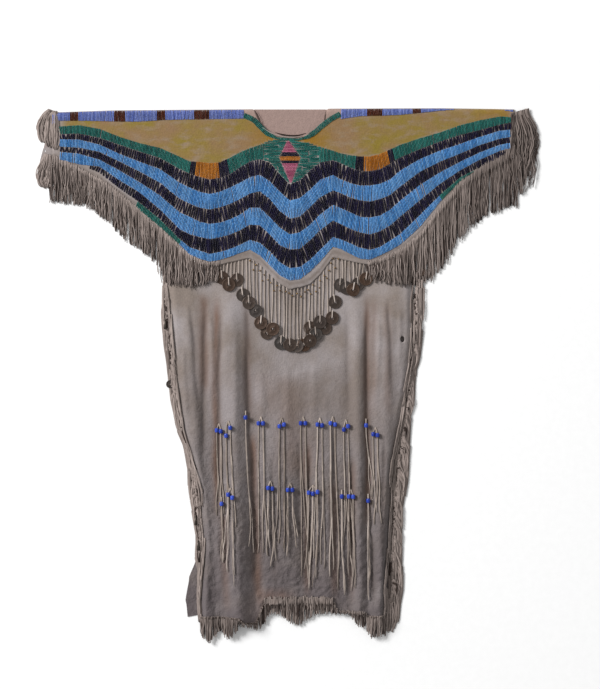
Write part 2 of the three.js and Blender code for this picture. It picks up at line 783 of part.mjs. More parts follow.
// Sleeve fringe
const sleeves = SLEEVE_FRINGE.map(({ name, from, to, count }) => {
  const pitch = (to - from) / count;
  const stations = [];
  const strands = [];
  for (let i = 0; i <= count; i += 1) stations.push(from + i * pitch);
  for (let i = 0; i < count; i += 1) {
    const u = from + (i + 0.5) * pitch;
    const tip = along(SLEEVE_TIPS, 'u', 'v', u) - SLEEVE_SHORTER[i % SLEEVE_SHORTER.length];
    const root = rim(u) + EDGE_GAP + STRIP_WIDE;
    const sway = SLEEVE_SWAY.most * Math.sin(i * SLEEVE_SWAY.turn);
    strands.push({
      wide: STRAND_WIDE,
      line: [
        { u: u + sway * 0.3, v: mix(root, tip, 0.4) },
        { u: u + sway, v: tip },
      ],
    });
  }
  return fringe(name, rimPosts(stations), strands, 'fringe', hides);
});

// Middle thongs, one down to each coin
const coinThongs = COINS.filter((c, i) => !COINS.slice(0, i).some((d) => d.u === c.u));
const thongEdges = coinThongs.map((c, i) =>
  i === 0 ? c.u - THONG_EDGE : (c.u + coinThongs[i - 1].u) / 2,
);
thongEdges.push(coinThongs[coinThongs.length - 1].u + THONG_EDGE);
const middle = fringe(
  'fringe_middle',
  rimPosts(thongEdges),
  coinThongs.map((coin) => {
    const root = rim(coin.u) + EDGE_GAP + STRIP_WIDE;
    return {
      wide: THONG_WIDE,
      line: [
        { u: coin.u, v: mix(root, coin.v, 0.3) },
        { u: coin.u, v: coin.v + 2 },
      ],
    };
  }),
  'thong',
  hides,
);

// Cuff fringe
for (const cuff of CUFFS) {
  const { side, count } = cuff;
  const points = [];
  const strands = [];
  const step = (cuff.foot - cuff.top) / count;
  const order = [...Array(count + 1).keys()];
  const z = FRONT_Z + HIDE;
  for (const k of side < 0 ? order : order.reverse()) {
    const v = cuff.top + k * step;
    points.push({ inner: [cuff.edge, v], outer: [cuff.edge + side * STRIP_WIDE, v], z });
  }
  for (const n of order.slice(0, count).sort((a, b) => (b - a) * side)) {
    const out = side * (cuff.out - n * cuff.pitch);
    const root = cuff.top + (n + 0.5) * step;
    strands.push({
      wide: STRAND_WIDE,
      line: [
        { u: mix(cuff.edge, out, 0.8), v: root + 9 },
        { u: out, v: root + 34 },
        { u: out - side * 2, v: cuff.tip - 5 * (n % 3) },
      ],
    });
  }
  fringe(cuff.name, points, strands, 'fringe', hides);
}

// Side fringe. Each strand keeps outside the seam, which it follows down.
const backSide = {
  1: BACK_RIGHT.map((k) => ({ u: BACK_OUTLINE[k][0], v: BACK_OUTLINE[k][1] })),
  [-1]: BACK_LEFT.map((k) => ({ u: BACK_OUTLINE[k][0], v: BACK_OUTLINE[k][1] })),
};

for (const seam of SIDES) {
  const { side } = seam;
  const points = [];
  const strands = [];
  const pitch = (seam.to - seam.from) / seam.count;
  for (let i = 0; i < seam.count; i += 1) {
    const v = seam.from + i * pitch;
    for (const end of [v, v + SIDE_ROOT]) {
      const u = along(backSide[side], 'v', 'u', end) + side * seam.gap;
      points.push({ inner: [u, end], outer: [u + side * STRIP_WIDE, end], z: FLOOR_Z });
    }
    const bend = v + SIDE_BEND.down;
    const tip = v + seam.long - SIDE_SHORTER[i % SIDE_SHORTER.length];
    const out = seam.reach + SIDE_SWAY.most * Math.sin(i * SIDE_SWAY.turn);
    strands.push({
      wide: STRAND_WIDE,
      line: [
        { u: along(backSide[side], 'v', 'u', bend) + side * SIDE_BEND.reach, v: bend },
        { u: along(backSide[side], 'v', 'u', tip) + side * out, v: tip },
      ],
    });
    strands.push(null);
  }
  strands.pop();
  if (side > 0) {
    points.reverse();
    strands.reverse();
  }
  fringe(seam.name, points, strands, 'fringe', hides);
}

// Hem fringe
const hemRow = frontRows[frontRows.length - 1];
const hemPoint = (u) => {
  const v = along(hemRow, 'u', 'v', u);
  const z = along(hemRow, 'u', 'low', u);
  return { inner: [u, v + EDGE_GAP], outer: [u, v + EDGE_GAP + STRIP_WIDE], z };
};

const hemPoints = [];
const hemStrands = [];
for (const bunch of HEM_TIPS) {
  const pitch = (bunch.to - bunch.from) / bunch.count;
  if (hemPoints.length) {
    hemStrands.push(null);
    const last = hemPoints[hemPoints.length - 1].inner[0];
    for (const { u } of hemRow.filter((p) => p.u > last + 2 && p.u < bunch.from - 2)) {
      hemPoints.push(hemPoint(u));
      hemStrands.push(null);
    }
  }
  for (let i = 0; i <= bunch.count; i += 1) hemPoints.push(hemPoint(bunch.from + i * pitch));
  for (let i = 0; i < bunch.count; i += 1) {
    const u = bunch.from + (i + 0.5) * pitch;
    const where = ((bunch.tips.length - 1) * (i + 0.5)) / bunch.count;
    const index = Math.floor(where);
    const tip = mix(bunch.tips[index], bunch.tips[index + 1], where - index);
    const { z } = hemPoint(u);
    hemStrands.push({
      wide: HEM_STRAND,
      line: [{ u: u + Math.sin(i * HEM_TURN), v: tip, z: mix(FLOOR_Z, z, HEM_DROP) }],
    });
  }
}
fringe('fringe_hem', hemPoints, hemStrands, 'hide', [onBack]);

// A flat disc with a square hole
function disc({ radius, hole, thick, sides }) {
  const shape = new THREE.Shape();
  for (let i = 0; i < sides; i += 1) {
    const turn = (2 * Math.PI * i) / sides;
    const method = i ? 'lineTo' : 'moveTo';
    shape[method](radius * Math.cos(turn), radius * Math.sin(turn));
  }
  const square = new THREE.Path();
  square.moveTo(-hole, -hole);
  square.lineTo(-hole, hole);
  square.lineTo(hole, hole);
  square.lineTo(hole, -hole);
  shape.holes.push(square);
  return new THREE.ExtrudeGeometry(shape, { depth: thick, bevelEnabled: false });
}

// The height at which a flat disc rests on what is under it
function restHeight(layers, u, v, radius) {
  let z = heightOn(layers, u, v);
  for (const reach of [0.5, 0.97]) {
    for (let i = 0; i < 12; i += 1) {
      const turn = (2 * Math.PI * i) / 12;
      const du = reach * radius * Math.cos(turn);
      const dv = reach * radius * Math.sin(turn);
      z = Math.max(z, heightOn(layers, u + du, v + dv));
    }
  }
  return z + DISC_REST;
}

// Coins lie on their thongs and on the coins beside them
const underCoins = [...hides, ...[middle, ...sleeves].map(onMesh)];
const laidCoins = [];
COINS.forEach((coin, i) => {
  const near = (c) => Math.hypot(c.u - coin.u, c.v - coin.v) < 2.1 * COIN.radius;
  const under = laidCoins.filter(near);
  let z = restHeight(underCoins, coin.u, coin.v, COIN.radius);
  const taken = (height) => under.some((c) => Math.abs(c.z - height) < COIN.thick + GAP - 0.01);
  while (taken(z)) z += GAP;
  laidCoins.push({ ...coin, z });
  const spot = place(coin.u, coin.v, z);
  const name = `coin_${String(i + 1).padStart(2, '0')}`;
  addPiece(name, disc(COIN).rotateZ(i * COIN_TURN).translate(spot.x, spot.y, spot.z), 'coin');
});

// A round strand of changing radius along laid points
function tube(points, sides) {
  const shell = new Shell();
  const rings = points.map((p) => {
    const ring = [];
    for (let i = 0; i < sides; i += 1) {
      const turn = (2 * Math.PI * (i + 0.5)) / sides;
      const du = p.radius * Math.cos(turn);
      ring.push(shell.add(place(p.u + du, p.v, p.z + p.radius * (1 + Math.sin(turn)))));
    }
    return ring;
  });
  for (let k = 0; k + 1 < rings.length; k += 1) {
    for (let i = 0; i < sides; i += 1) {
      const j = (i + 1) % sides;
      shell.quad(rings[k][i], rings[k][j], rings[k + 1][j], rings[k + 1][i]);
    }
  }
  for (let i = 1; i + 1 < sides; i += 1) {
    shell.faces.push([rings[0][0], rings[0][i + 1], rings[0][i]]);
    const end = rings[rings.length - 1];
    shell.faces.push([end[0], end[i], end[i + 1]]);
  }
  return shell.geometry();
}

// One bead and its thong: from the tie, through the bead, and down
function dropTube([u, v, hang, drift], tieU, tieV, under) {
  const { radius, half, thong } = BEAD;
  const line = [
    { u: tieU, v: tieV, radius: thong },
    { u, v: v - half, radius: thong },
    { u, v: v - half / 2, radius },
    { u, v: v + half / 2, radius },
    { u, v: v + half, radius: thong },
  ];
  const steps = Math.max(2, Math.round(hang / DROP_STEP));
  for (let k = 1; k <= steps; k += 1) {
    const t = k / steps;
    const swing = DROP_SWING * Math.sin(t * 5 + u) * t;
    const down = half + (hang - half) * t;
    line.push({ u: u + drift * smooth(t) + swing, v: v + down, radius: thong });
  }
  return tube(lay(line, under, (p) => p.radius), BEAD.sides);
}

const upperDrops = [];
for (const { name, beads } of DROPS) {
  const tieU = beads.reduce((sum, b) => sum + b[0], 0) / beads.length;
  const tieV = Math.min(...beads.map((b) => b[1])) - DROP_TIE;
  const under = name.includes('lower') ? [...hides, ...upperDrops] : hides;
  const solids = beads.map((bead) => toSolid(dropTube(bead, tieU, tieV, under)));
  const drop = addPiece(name, fromSolid(solids.reduce((a, b) => a.add(b))), 'bead');
  if (name.includes('upper')) upperDrops.push(onMesh(drop));
}

// Trinkets
const carriers = group.children.filter((m) => /hide|fringe_s|fringe_c/.test(m.name)).map(onMesh);
for (const { name, kind, u, v } of TRINKETS) {
  if (kind === 'disc') {
    const z = restHeight(carriers, u, v, DISC.radius);
    const spot = place(u, v, z);
    addPiece(name, disc(DISC).translate(spot.x, spot.y, spot.z), 'coin');
  } else {
    const z = restHeight(carriers, u, v, CONE.long / 2) + CONE.mouth;
    const spot = place(u, v, z);
    const cone = new THREE.CylinderGeometry(CONE.tip, CONE.mouth, CONE.long, CONE.sides);
    addPiece(name, cone.translate(spot.x, spot.y, spot.z), 'tin');
  }
}

export default group;
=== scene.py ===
"""A beaded hide dress laid flat on its back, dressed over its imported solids.

Places on the dress are written as u, right of the middle of the neck, and v, down from the
shoulder line, both in millimetres. Heights are millimetres above the ground.
"""
import logging
import math
from dataclasses import dataclass, field
from enum import Enum
from typing import Callable

import bpy
import numpy as np
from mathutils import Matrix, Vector
from mathutils.geometry import tessellate_polygon


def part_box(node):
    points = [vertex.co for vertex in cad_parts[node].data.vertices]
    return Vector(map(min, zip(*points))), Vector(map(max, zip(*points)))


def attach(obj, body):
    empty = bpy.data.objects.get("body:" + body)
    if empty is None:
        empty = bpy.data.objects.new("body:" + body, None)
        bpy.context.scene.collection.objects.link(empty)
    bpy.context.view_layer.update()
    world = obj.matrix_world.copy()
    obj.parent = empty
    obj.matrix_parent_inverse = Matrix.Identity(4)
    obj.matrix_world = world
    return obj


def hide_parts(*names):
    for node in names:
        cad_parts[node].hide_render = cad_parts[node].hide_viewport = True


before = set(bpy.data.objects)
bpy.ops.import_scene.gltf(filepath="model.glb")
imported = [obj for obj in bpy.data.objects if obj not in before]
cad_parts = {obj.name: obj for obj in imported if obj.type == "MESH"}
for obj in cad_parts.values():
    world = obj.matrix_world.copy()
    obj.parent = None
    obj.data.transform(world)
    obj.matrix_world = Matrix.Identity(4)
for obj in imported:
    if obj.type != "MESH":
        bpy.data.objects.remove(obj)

LOG = logging.getLogger("dress")
Array = np.ndarray
Body = tuple[np.ndarray, list[np.ndarray], np.ndarray]
Material, Piece = bpy.types.Material, bpy.types.Object
Tree, Socket = bpy.types.NodeTree, bpy.types.NodeSocket
Curve = Callable[[Array], Array]

MM = 0.001
U_MIDDLE = -4.0
V_MIDDLE = 638.0
BODY = "root"

# Heights of the layers, as in the solids
BACK_LOW, BACK_TOP = 0.25, 1.9
FRONT_LOW, FRONT_THICK = 2.35, 1.7
YOKE_LOW, YOKE_THICK = 4.65, 1.7
FLOOR_CLEAR = 0.5

# The shoulder line, which is not quite straight: u, v
SHOULDER = np.array([(-569, 6), (-420, 1), (130, -3), (360, -4), (538, -1)], float)

# The neck edge of the yoke: u, v
NECK = np.array([
    (-86, 0), (-72, 33), (-48, 55), (-24, 65), (0, 68), (24, 66), (48, 57), (72, 42),
    (82, 28), (88, 0),
], float)

# The hide's lower edge below the beads: u, v
RIM = np.array([
    (-569, 121), (-504, 149), (-456, 175), (-408, 209), (-360, 247), (-312, 290), (-276, 324),
    (-240, 355), (-204, 373), (-168, 371), (-132, 364), (-96, 355), (-72, 371), (-48, 396),
    (-24, 418), (0, 430), (24, 427), (48, 419), (72, 396), (103, 353), (132, 360), (187, 372),
    (216, 365), (240, 355), (276, 336), (312, 305), (360, 245), (408, 188), (456, 156),
    (504, 128), (538, 113),
], float)

# The lanes of beads at each station: u, the top of the green lane, then the tops of three navy
# and three light blue lanes in turn, and the end of the lowest
LANES = np.array([
    (-552, 40, 59, 71, 89, 101, 120, 120, 120),
    (-504, 37, 58, 72, 92, 106, 132, 132, 132),
    (-456, 46, 68, 84, 102, 120, 137, 152, 152),
    (-408, 65, 85, 106, 125, 146, 170, 190, 190),
    (-360, 80, 101, 125, 149, 174, 199, 223, 242),
    (-312, 91, 116, 142, 175, 205, 239, 262, 281),
    (-264, 113, 143, 175, 214, 246, 287, 310, 324),
    (-240, 124, 154, 187, 226, 257, 299, 330, 348),
    (-216, 125, 162, 197, 236, 269, 306, 338, 358),
    (-192, 128, 168, 202, 240, 274, 311, 346, 365),
    (-168, 126, 164, 197, 235, 271, 307, 341, 361),
    (-144, 115, 156, 187, 227, 263, 300, 334, 353),
    (-120, 102, 139, 175, 215, 252, 290, 324, 344),
    (-96, 92, 125, 162, 202, 235, 276, 312, 336),
    (-72, 84, 119, 156, 196, 235, 278, 319, 350),
    (-48, 74, 127, 172, 215, 258, 300, 340, 374),
    (-24, 71, 156, 197, 244, 283, 326, 366, 398),
    (0, 70, 180, 218, 262, 299, 336, 380, 410),
    (24, 76, 170, 212, 257, 294, 334, 377, 407),
    (48, 80, 146, 192, 235, 276, 314, 360, 389),
    (72, 89, 127, 168, 211, 251, 290, 336, 365),
    (103, 98, 122, 156, 194, 228, 266, 305, 329),
    (120, 104, 128, 166, 200, 235, 274, 310, 334),
    (144, 109, 139, 176, 211, 246, 286, 320, 346),
    (168, 112, 148, 182, 218, 257, 295, 331, 358),
    (192, 112, 148, 182, 221, 259, 300, 336, 360),
    (216, 106, 143, 178, 215, 254, 292, 329, 350),
    (240, 95, 130, 167, 205, 240, 278, 314, 338),
    (264, 84, 115, 146, 185, 218, 257, 298, 324),
    (312, 68, 95, 118, 149, 180, 217, 252, 281),
    (360, 54, 77, 98, 125, 150, 178, 204, 221),
    (408, 37, 61, 82, 106, 125, 146, 162, 172),
    (456, 25, 49, 65, 85, 102, 120, 138, 138),
    (504, 16, 36, 50, 70, 84, 99, 114, 114),
    (530, 18, 31, 48, 66, 79, 93, 106, 106),
], float)

# The middle of the green band that follows the neck: u, v
NECK_BAND = (
    (-110, 14), (-87, 24), (-71, 41), (-57, 55), (-33, 68), (-8, 71), (18, 72), (42, 66), (60, 54),
    (78, 38), (96, 24), (121, 10),
)

# The lower edge of the beaded strip along the shoulder: u, v
STRIP = np.array([
    (-569, 36), (-558, 36), (-552, 27), (-500, 27), (-408, 29), (-360, 29), (-300, 25),
    (-118, 22), (122, 23), (168, 16), (216, 15), (264, 13), (312, 8), (360, 3), (401, 0),
    (500, 0), (530, 5), (538, 5),
], float)

# Soft waves of the yoke: u, half its width, how high
YOKE_WAVES = ((-425, 60, 3), (-205, 62, 5), (0, 60, 6), (186, 52, 5), (420, 60, 3))
ROLL_REACH = 9.0
SHOULDER_ROLL = 3.7

# The side edges of the front hide: v, left, right
FRONT_SIDES = np.array([
    (11, -560, 530), (96, -560, 528), (118, -548, 496), (150, -492, 444), (190, -428, 390),
    (237, -366, 348), (280, -316, 314), (320, -299, 298), (379, -300, 293), (456, -288, 293),
    (552, -283, 293), (648, -274, 283), (768, -257, 264), (840, -235, 250), (912, -216, 244),
    (1032, -206, 238), (1104, -211, 235), (1176, -216, 232), (1230, -214, 231),
], float)

# The front hide's lower edge: u, v
HEM = np.array([
    (-216, 1217), (-122, 1217), (-108, 1229), (-82, 1230), (-62, 1184), (104, 1182),
    (116, 1207), (174, 1207), (186, 1214), (232, 1214),
], float)

# Long soft folds of the skirt: the top and the foot of each ridge, its height and half width
FOLDS = (
    (-248, 430, -196, 1220, 9, 17), (-146, 400, -120, 1230, 24, 27),
    (-30, 640, -22, 1200, 8, 46), (80, 700, 86, 1190, 7, 28),
    (160, 420, 168, 1210, 14, 15), (240, 420, 211, 1215, 15, 20),
)
FOLD_FADE = 16.0
ONSET_SHARE, ONSET_OVER = 0.35, 0.15

# Smaller creases between the folds: the top and the foot of each, how high it
# stands (below nothing for a trough) and its half width
CREASES = (
    (-240, 452, -214, 760, -3.4, 6.0), (-205, 436, -208, 905, -4.6, 7.0),
    (-190, 455, -186, 720, 2.6, 6.5), (-168, 440, -172, 1010, -4.4, 5.5),
    (-176, 980, -160, 1205, 3.0, 7.0), (-103, 436, -98, 830, -5.6, 7.0),
    (-92, 770, -80, 1180, -5.6, 8.0), (-70, 600, -62, 1010, 2.4, 12.0),
    (-44, 820, -36, 1176, -3.4, 7.0), (-12, 590, 2, 900, 1.8, 10.0),
    (20, 760, 26, 1176, -3.0, 8.0), (46, 800, 42, 1176, -4.6, 6.0),
    (60, 575, 52, 800, 1.6, 9.0), (108, 720, 112, 1176, -3.2, 7.0),
    (132, 470, 140, 760, -2.2, 7.0), (148, 780, 146, 1196, -4.4, 5.5),
    (183, 424, 186, 1040, -5.8, 6.0), (196, 1000, 200, 1205, -3.8, 6.0),
    (214, 470, 206, 800, 2.6, 7.0), (232, 440, 246, 700, -3.6, 6.0),
    (262, 460, 262, 640, 2.2, 7.0), (222, 760, 224, 1120, -3.4, 6.0),
    (-256, 560, -246, 760, 2.2, 6.0), (-226, 900, -198, 1150, -3.2, 6.0),
    (66, 860, 72, 1100, 2.4, 8.0), (-130, 470, -128, 900, 2.0, 9.0),
)

# Brown marks down the skirt, mostly along the troughs, partly stains and partly painted shade in
# the troughs: the top and the foot of each, how strong and how wide
STAIN_AND_SHADE_MARKS = (
    (-208, 430, -206, 700, 0.7, 12), (-178, 430, -176, 1000, 0.9, 9), (-104, 440, -98, 760, 0.4, 9),
    (-90, 760, -74, 1200, 0.9, 10), (184, 425, 186, 1030, 1.0, 7), (198, 440, 200, 760, 0.4, 9),
    (-52, 620, 30, 900, 0.25, 60), (40, 780, 40, 1190, 0.5, 9), (104, 880, 108, 1190, 0.5, 9),
    (150, 820, 148, 1190, 0.5, 8), (-160, 960, -150, 1215, 0.5, 9), (232, 450, 236, 760, 0.3, 10),
)

# The cut of the back hide, with its leg edges: u, v
BACK_OUTLINE = (
    (-566, 12), (-420, 7), (-100, 2), (-84, -1), (84, -1), (100, 1), (360, 2), (531, 5),
    (534, 98), (500, 114), (450, 145), (402, 176), (354, 236), (320, 278), (303, 312), (297, 379),
    (296, 552), (286, 648), (267, 768), (253, 840), (247, 912), (241, 1032), (238, 1104),
    (236, 1206), (190, 1195), (100, 1172), (0, 1160), (-100, 1180), (-205, 1208), (-246, 1216),
    (-250, 1176), (-241, 1120), (-229, 1088), (-214, 1056), (-209, 1032), (-219, 912),
    (-238, 840), (-260, 768), (-277, 648), (-286, 552), (-291, 456), (-303, 379), (-302, 320),
    (-320, 282), (-368, 240), (-430, 192), (-500, 176), (-578, 179), (-601, 176), (-606, 150),
    (-598, 116), (-588, 80), (-580, 40),
)

# Holes through the hides: u, v, how wide, how tall
BACK_HOLE = (-588.0, 98.0, 5.0, 4.6)
FRONT_HOLE = (269.0, 550.0, 10.0, 15.0)

# The disc in the left side's fringe: u, v
SIDE_DISC = (-287, 658)

# Both ends of the yoke, and of the band round the neck, as u
YOKE_LEFT, YOKE_RIGHT = -569, 538
BAND_LEFT, BAND_RIGHT = -110, 122


def smooth(t: Array | float) -> Array:
    """An eased step from 0 to 1.

    Args:
        t: How far along, of which what is below 0 or above 1 is held.

    Returns:
        The eased values.
    """
    c = np.clip(t, 0.0, 1.0)
    return c * c * (3.0 - 2.0 * c)


def mix(a: Array | float, b: Array | float, t: Array | float) -> Array:
    """A value between a, at t = 0, and b, at t = 1."""
    return a + (b - a) * t


def along(table: Array, column: int) -> Curve:
    """Makes a curve out of one column of a table.

    Args:
        table: Rows in the order of their first column.
        column: The column to read.

    Returns:
        A function from the first column's values to that column's.
    """
    return lambda at: np.interp(at, table[:, 0], table[:, column])


def ripple(u: Array, v: Array, wide: float, tall: float, seed: int) -> Array:
    """Smooth chance relief, from -1 to 1.

    Args:
        u: Places across.
        v: Places down.
        wide: Usual size of a swell across.
        tall: Usual size of a swell down.
        seed: Which relief.

    Returns:
        The relief at each place.
    """
    lattice = np.random.default_rng(seed).uniform(-1.0, 1.0, (128, 128))
    x = np.asarray(u, float) / wide + 40.0
    y = np.asarray(v, float) / tall + 40.0
    i, j = np.floor(x).astype(int), np.floor(y).astype(int)
    s, t = smooth(x - i), smooth(y - j)
    i, j, i1, j1 = i % 128, j % 128, (i + 1) % 128, (j + 1) % 128
    upper = mix(lattice[j, i], lattice[j, i1], s)
    lower = mix(lattice[j1, i], lattice[j1, i1], s)
    return mix(upper, lower, t)


def inside(outline: tuple, u: Array, v: Array) -> Array:
    """Which places lie within an outline.

    Args:
        outline: Corners as (u, v).
        u: Places across.
        v: Places down.

    Returns:
        True for each place within it.
    """
    found = np.zeros(np.shape(u), bool)
    for (u0, v0), (u1, v1) in zip(outline, outline[1:] + outline[:1]):
        if v0 != v1:
            crossing = u < u0 + (v - v0) * (u1 - u0) / (v1 - v0)
            found ^= ((v1 > v) != (v0 > v)) & crossing
    return found


shoulder = along(SHOULDER, 1)
neck = along(NECK, 1)
rim = along(RIM, 1)
strip_edge = along(STRIP, 1)
front_left = along(FRONT_SIDES, 1)
front_right = along(FRONT_SIDES, 2)
hem = along(HEM, 1)


def yoke_top(u: Array) -> Array:
    """The yoke's upper edge: the shoulder line, and the neck's edge between its ends."""
    at_neck = (u >= NECK[0, 0]) & (u <= NECK[-1, 0])
    return np.where(at_neck, np.maximum(neck(u), shoulder(u)), shoulder(u))


def yoke_low(u: Array, v: Array) -> Array:
    """How high the yoke's inner face lies.

    Args:
        u: Places across.
        v: Places down.

    Returns:
        The heights.
    """
    rise = sum(high * np.exp(-(((u - at) / half) ** 2)) for at, half, high in YOKE_WAVES)
    wave = rise * smooth((v - ROLL_REACH) / (rim(u) - ROLL_REACH))
    over = 1.0 - smooth((v - shoulder(u)) / ROLL_REACH)
    return YOKE_LOW + wave - SHOULDER_ROLL * over


def creases(u: Array, v: Array) -> Array:
    """How high the small creases stand, and how deep their troughs go, below nothing.

    Args:
        u: Places across.
        v: Places down.

    Returns:
        The heights.
    """
    height = np.zeros(np.shape(u))
    for top_u, top_v, foot_u, foot_v, high, half in CREASES:
        t = (v - top_v) / (foot_v - top_v)
        wander = 3.0 * ripple(v, v * 0 + top_u, 70.0, 9.0, 6)
        across = (u - mix(top_u, foot_u, t) - wander) / (half * mix(0.75, 1.3, smooth(t)))
        lasting = smooth(t / 0.22) * smooth((1.0 - t) / 0.3)
        height += high * lasting * np.exp(-(np.abs(across) ** (1.3 if high < 0 else 2.0)))
    return height


def front_low(u: Array, v: Array) -> Array:
    """How high the front hide's inner face lies, main folds and small creases together.

    Args:
        u: Places across.
        v: Places down.

    Returns:
        The heights.
    """
    left, right = front_left(v), front_right(v)
    edge = smooth((u - left) / FOLD_FADE) * smooth((right - u) / FOLD_FADE)
    rise = np.zeros(np.shape(u))
    for top_u, top_v, foot_u, foot_v, high, half in FOLDS:
        t = (v - top_v) / (foot_v - top_v)
        across = (u - mix(top_u, foot_u, t)) / half
        grown = mix(smooth(t), smooth(t / ONSET_OVER), ONSET_SHARE)
        rise += high * grown * np.exp(-(across**2))
    swell = 0.9 * (1.0 + ripple(u, v, 46.0, 190.0, 3)) + 0.5 * (1.0 + ripple(u, v, 17.0, 60.0, 4))
    pebbles = 1.7 * ripple(u, v, 7.5, 6.0, 12) * smooth((v - 720.0) / 300.0)
    # Under the coins the hide lies as flat as its solid
    clear = smooth((np.hypot(u / 205.0, (v - 400.0) / 200.0) - 0.9) / 0.35)
    below = smooth((v - 330.0) / 90.0) * mix(0.25, 1.0, clear)
    lift = np.maximum(4.6 + creases(u, v) + swell + pebbles, 0.0)
    return FRONT_LOW + (rise + lift * below) * edge


class Ground:
    """The heights of the hides, on a grid of places, for what lies on them.

    Attributes:
        us: Grid places across.
        vs: Grid places down.
        heights: Height at each, as rows of vs.
    """

    CELL = 2.0

    def __init__(self) -> None:
        """Measures the hides, and widens each height by a cell so that nothing cuts an edge."""
        self.us = np.arange(-640.0, 641.0, self.CELL)
        self.vs = np.arange(-20.0, 1321.0, self.CELL)
        u, v = np.meshgrid(self.us, self.vs)
        heights = np.where(inside(BACK_OUTLINE, u, v), BACK_TOP, 0.0)
        on_front = (u >= front_left(v)) & (u <= front_right(v)) & (v >= 60) & (v <= hem(u))
        heights = np.where(on_front, front_low(u, v) + FRONT_THICK, heights)
        padded = np.pad(heights, 1, mode="edge")
        rows, columns = heights.shape
        shifts = [
            padded[j:j + rows, i:i + columns] for j in range(3) for i in range(3)
        ]
        self.heights = np.maximum.reduce(shifts)

    def at(self, u: Array, v: Array) -> Array:
        """The height under each place.

        Args:
            u: Places across.
            v: Places down.

        Returns:
            Heights, at least the floor's.
        """
        x = np.clip((u - self.us[0]) / self.CELL, 0, len(self.us) - 1.001)
        y = np.clip((v - self.vs[0]) / self.CELL, 0, len(self.vs) - 1.001)
        i, j = x.astype(int), y.astype(int)
        s, t = x - i, y - j
        h = self.heights
        upper = mix(h[j, i], h[j, i + 1], s)
        lower = mix(h[j + 1, i], h[j + 1, i + 1], s)
        return np.maximum(mix(upper, lower, t), 0.0) + FLOOR_CLEAR


def linear(colour: str) -> tuple[float, float, float, float]:
    """Turns an sRGB hex colour to Blender's linear one.

    Args:
        colour: Six hex digits after a hash.

    Returns:
        Red, green, blue and 1.
    """
    parts = [int(colour[k:k + 2], 16) / 255.0 for k in (1, 3, 5)]
    light = [c / 12.92 if c <= 0.04045 else ((c + 0.055) / 1.055) ** 2.4 for c in parts]
    return (*light, 1.0)


def connect(tree: Tree, node: bpy.types.Node, inputs: dict) -> None:
    """Fills a node's sockets.

    Args:
        tree: The node tree.
        node: The node.
        inputs: For each socket, a value, or another node's output to link.
    """
    for socket, value in inputs.items():
        if isinstance(value, Socket):
            tree.links.new(value, node.inputs[socket])
        else:
            node.inputs[socket].default_value = value


def add_node(
    tree: Tree, kind: str, settings: dict | None = None, inputs: dict | None = None
) -> bpy.types.Node:
    """Adds a node with its settings and links.

    Args:
        tree: The node tree.
        kind: The node's type name.
        settings: Values of its own properties.
        inputs: For each socket, a value, or another node's output to link.

    Returns:
        The node.
    """
    node = tree.nodes.new(kind)
    for name, value in (settings or {}).items():
        setattr(node, name, value)
    connect(tree, node, inputs or {})
    return node


@dataclass
class Coats:
    """The colours of a material, each laid over the ones before it.

    Attributes:
        tree: The material's nodes.
        colour: What they come to so far.
    """

    tree: Tree
    colour: Socket | tuple

    def lay(self, share: Socket | float, colour: Socket | tuple | str, how: str = "MIX") -> None:
        """Lays one more colour over them.

        Args:
            share: How much of it shows.
            colour: An output, linear values or an sRGB hex value.
            how: Blender's blend type.
        """
        over = linear(colour) if isinstance(colour, str) else colour
        self.colour = add_node(
            self.tree, "ShaderNodeMix", {"data_type": "RGBA", "blend_type": how},
            {0: share, 6: self.colour, 7: over},
        ).outputs[2]

    def speckle(self, pattern: Socket, low: tuple, high: tuple) -> Socket:
        """Makes the colours darker and lighter by a pattern.

        Args:
            pattern: From 0 to 1.
            low: Factors for red, green and blue where it is 0.
            high: The same where it is 1.

        Returns:
            The factors' output.
        """
        factors = Coats(self.tree, (*low, 1.0))
        factors.lay(pattern, (*high, 1.0))
        self.lay(1.0, factors.colour, "MULTIPLY")
        return factors.colour


def noise(
    tree: Tree, place: Socket, scale: float, detail: float, low: float = 0.35, high: float = 0.65
) -> Socket:
    """A soft chance pattern from 0 to 1.

    Args:
        tree: The node tree.
        place: Where, as an output.
        scale: Features a metre, about.
        detail: How many finer octaves.
        low: The noise that becomes 0.
        high: The noise that becomes 1.

    Returns:
        The pattern's output.
    """
    made = add_node(tree, "ShaderNodeTexNoise", {"noise_dimensions": "3D"}, {
        "Vector": place, "Scale": scale, "Detail": detail, "Roughness": 0.55,
    })
    spread = add_node(tree, "ShaderNodeMapRange", {"clamp": True}, {
        "Value": made.outputs["Fac"], "From Min": low, "From Max": high,
    })
    return spread.outputs["Result"]


def start_material(name: str) -> tuple[Material, Tree, bpy.types.Node]:
    """A new material with its shader.

    Args:
        name: The material's name.

    Returns:
        The material, its tree and its principled shader.
    """
    material = bpy.data.materials.new(name)
    material.use_nodes = True
    tree = material.node_tree
    return material, tree, tree.nodes["Principled BSDF"]


def object_place(tree: Tree, stretch: tuple = (1.0, 1.0, 1.0)) -> Socket:
    """Object coordinates, stretched along the axes.

    Args:
        tree: The node tree.
        stretch: A factor for each axis.

    Returns:
        The coordinates' output.
    """
    place = add_node(tree, "ShaderNodeTexCoord").outputs["Object"]
    if stretch == (1.0, 1.0, 1.0):
        return place
    mapped = add_node(tree, "ShaderNodeMapping", None, {"Vector": place, "Scale": stretch})
    return mapped.outputs["Vector"]


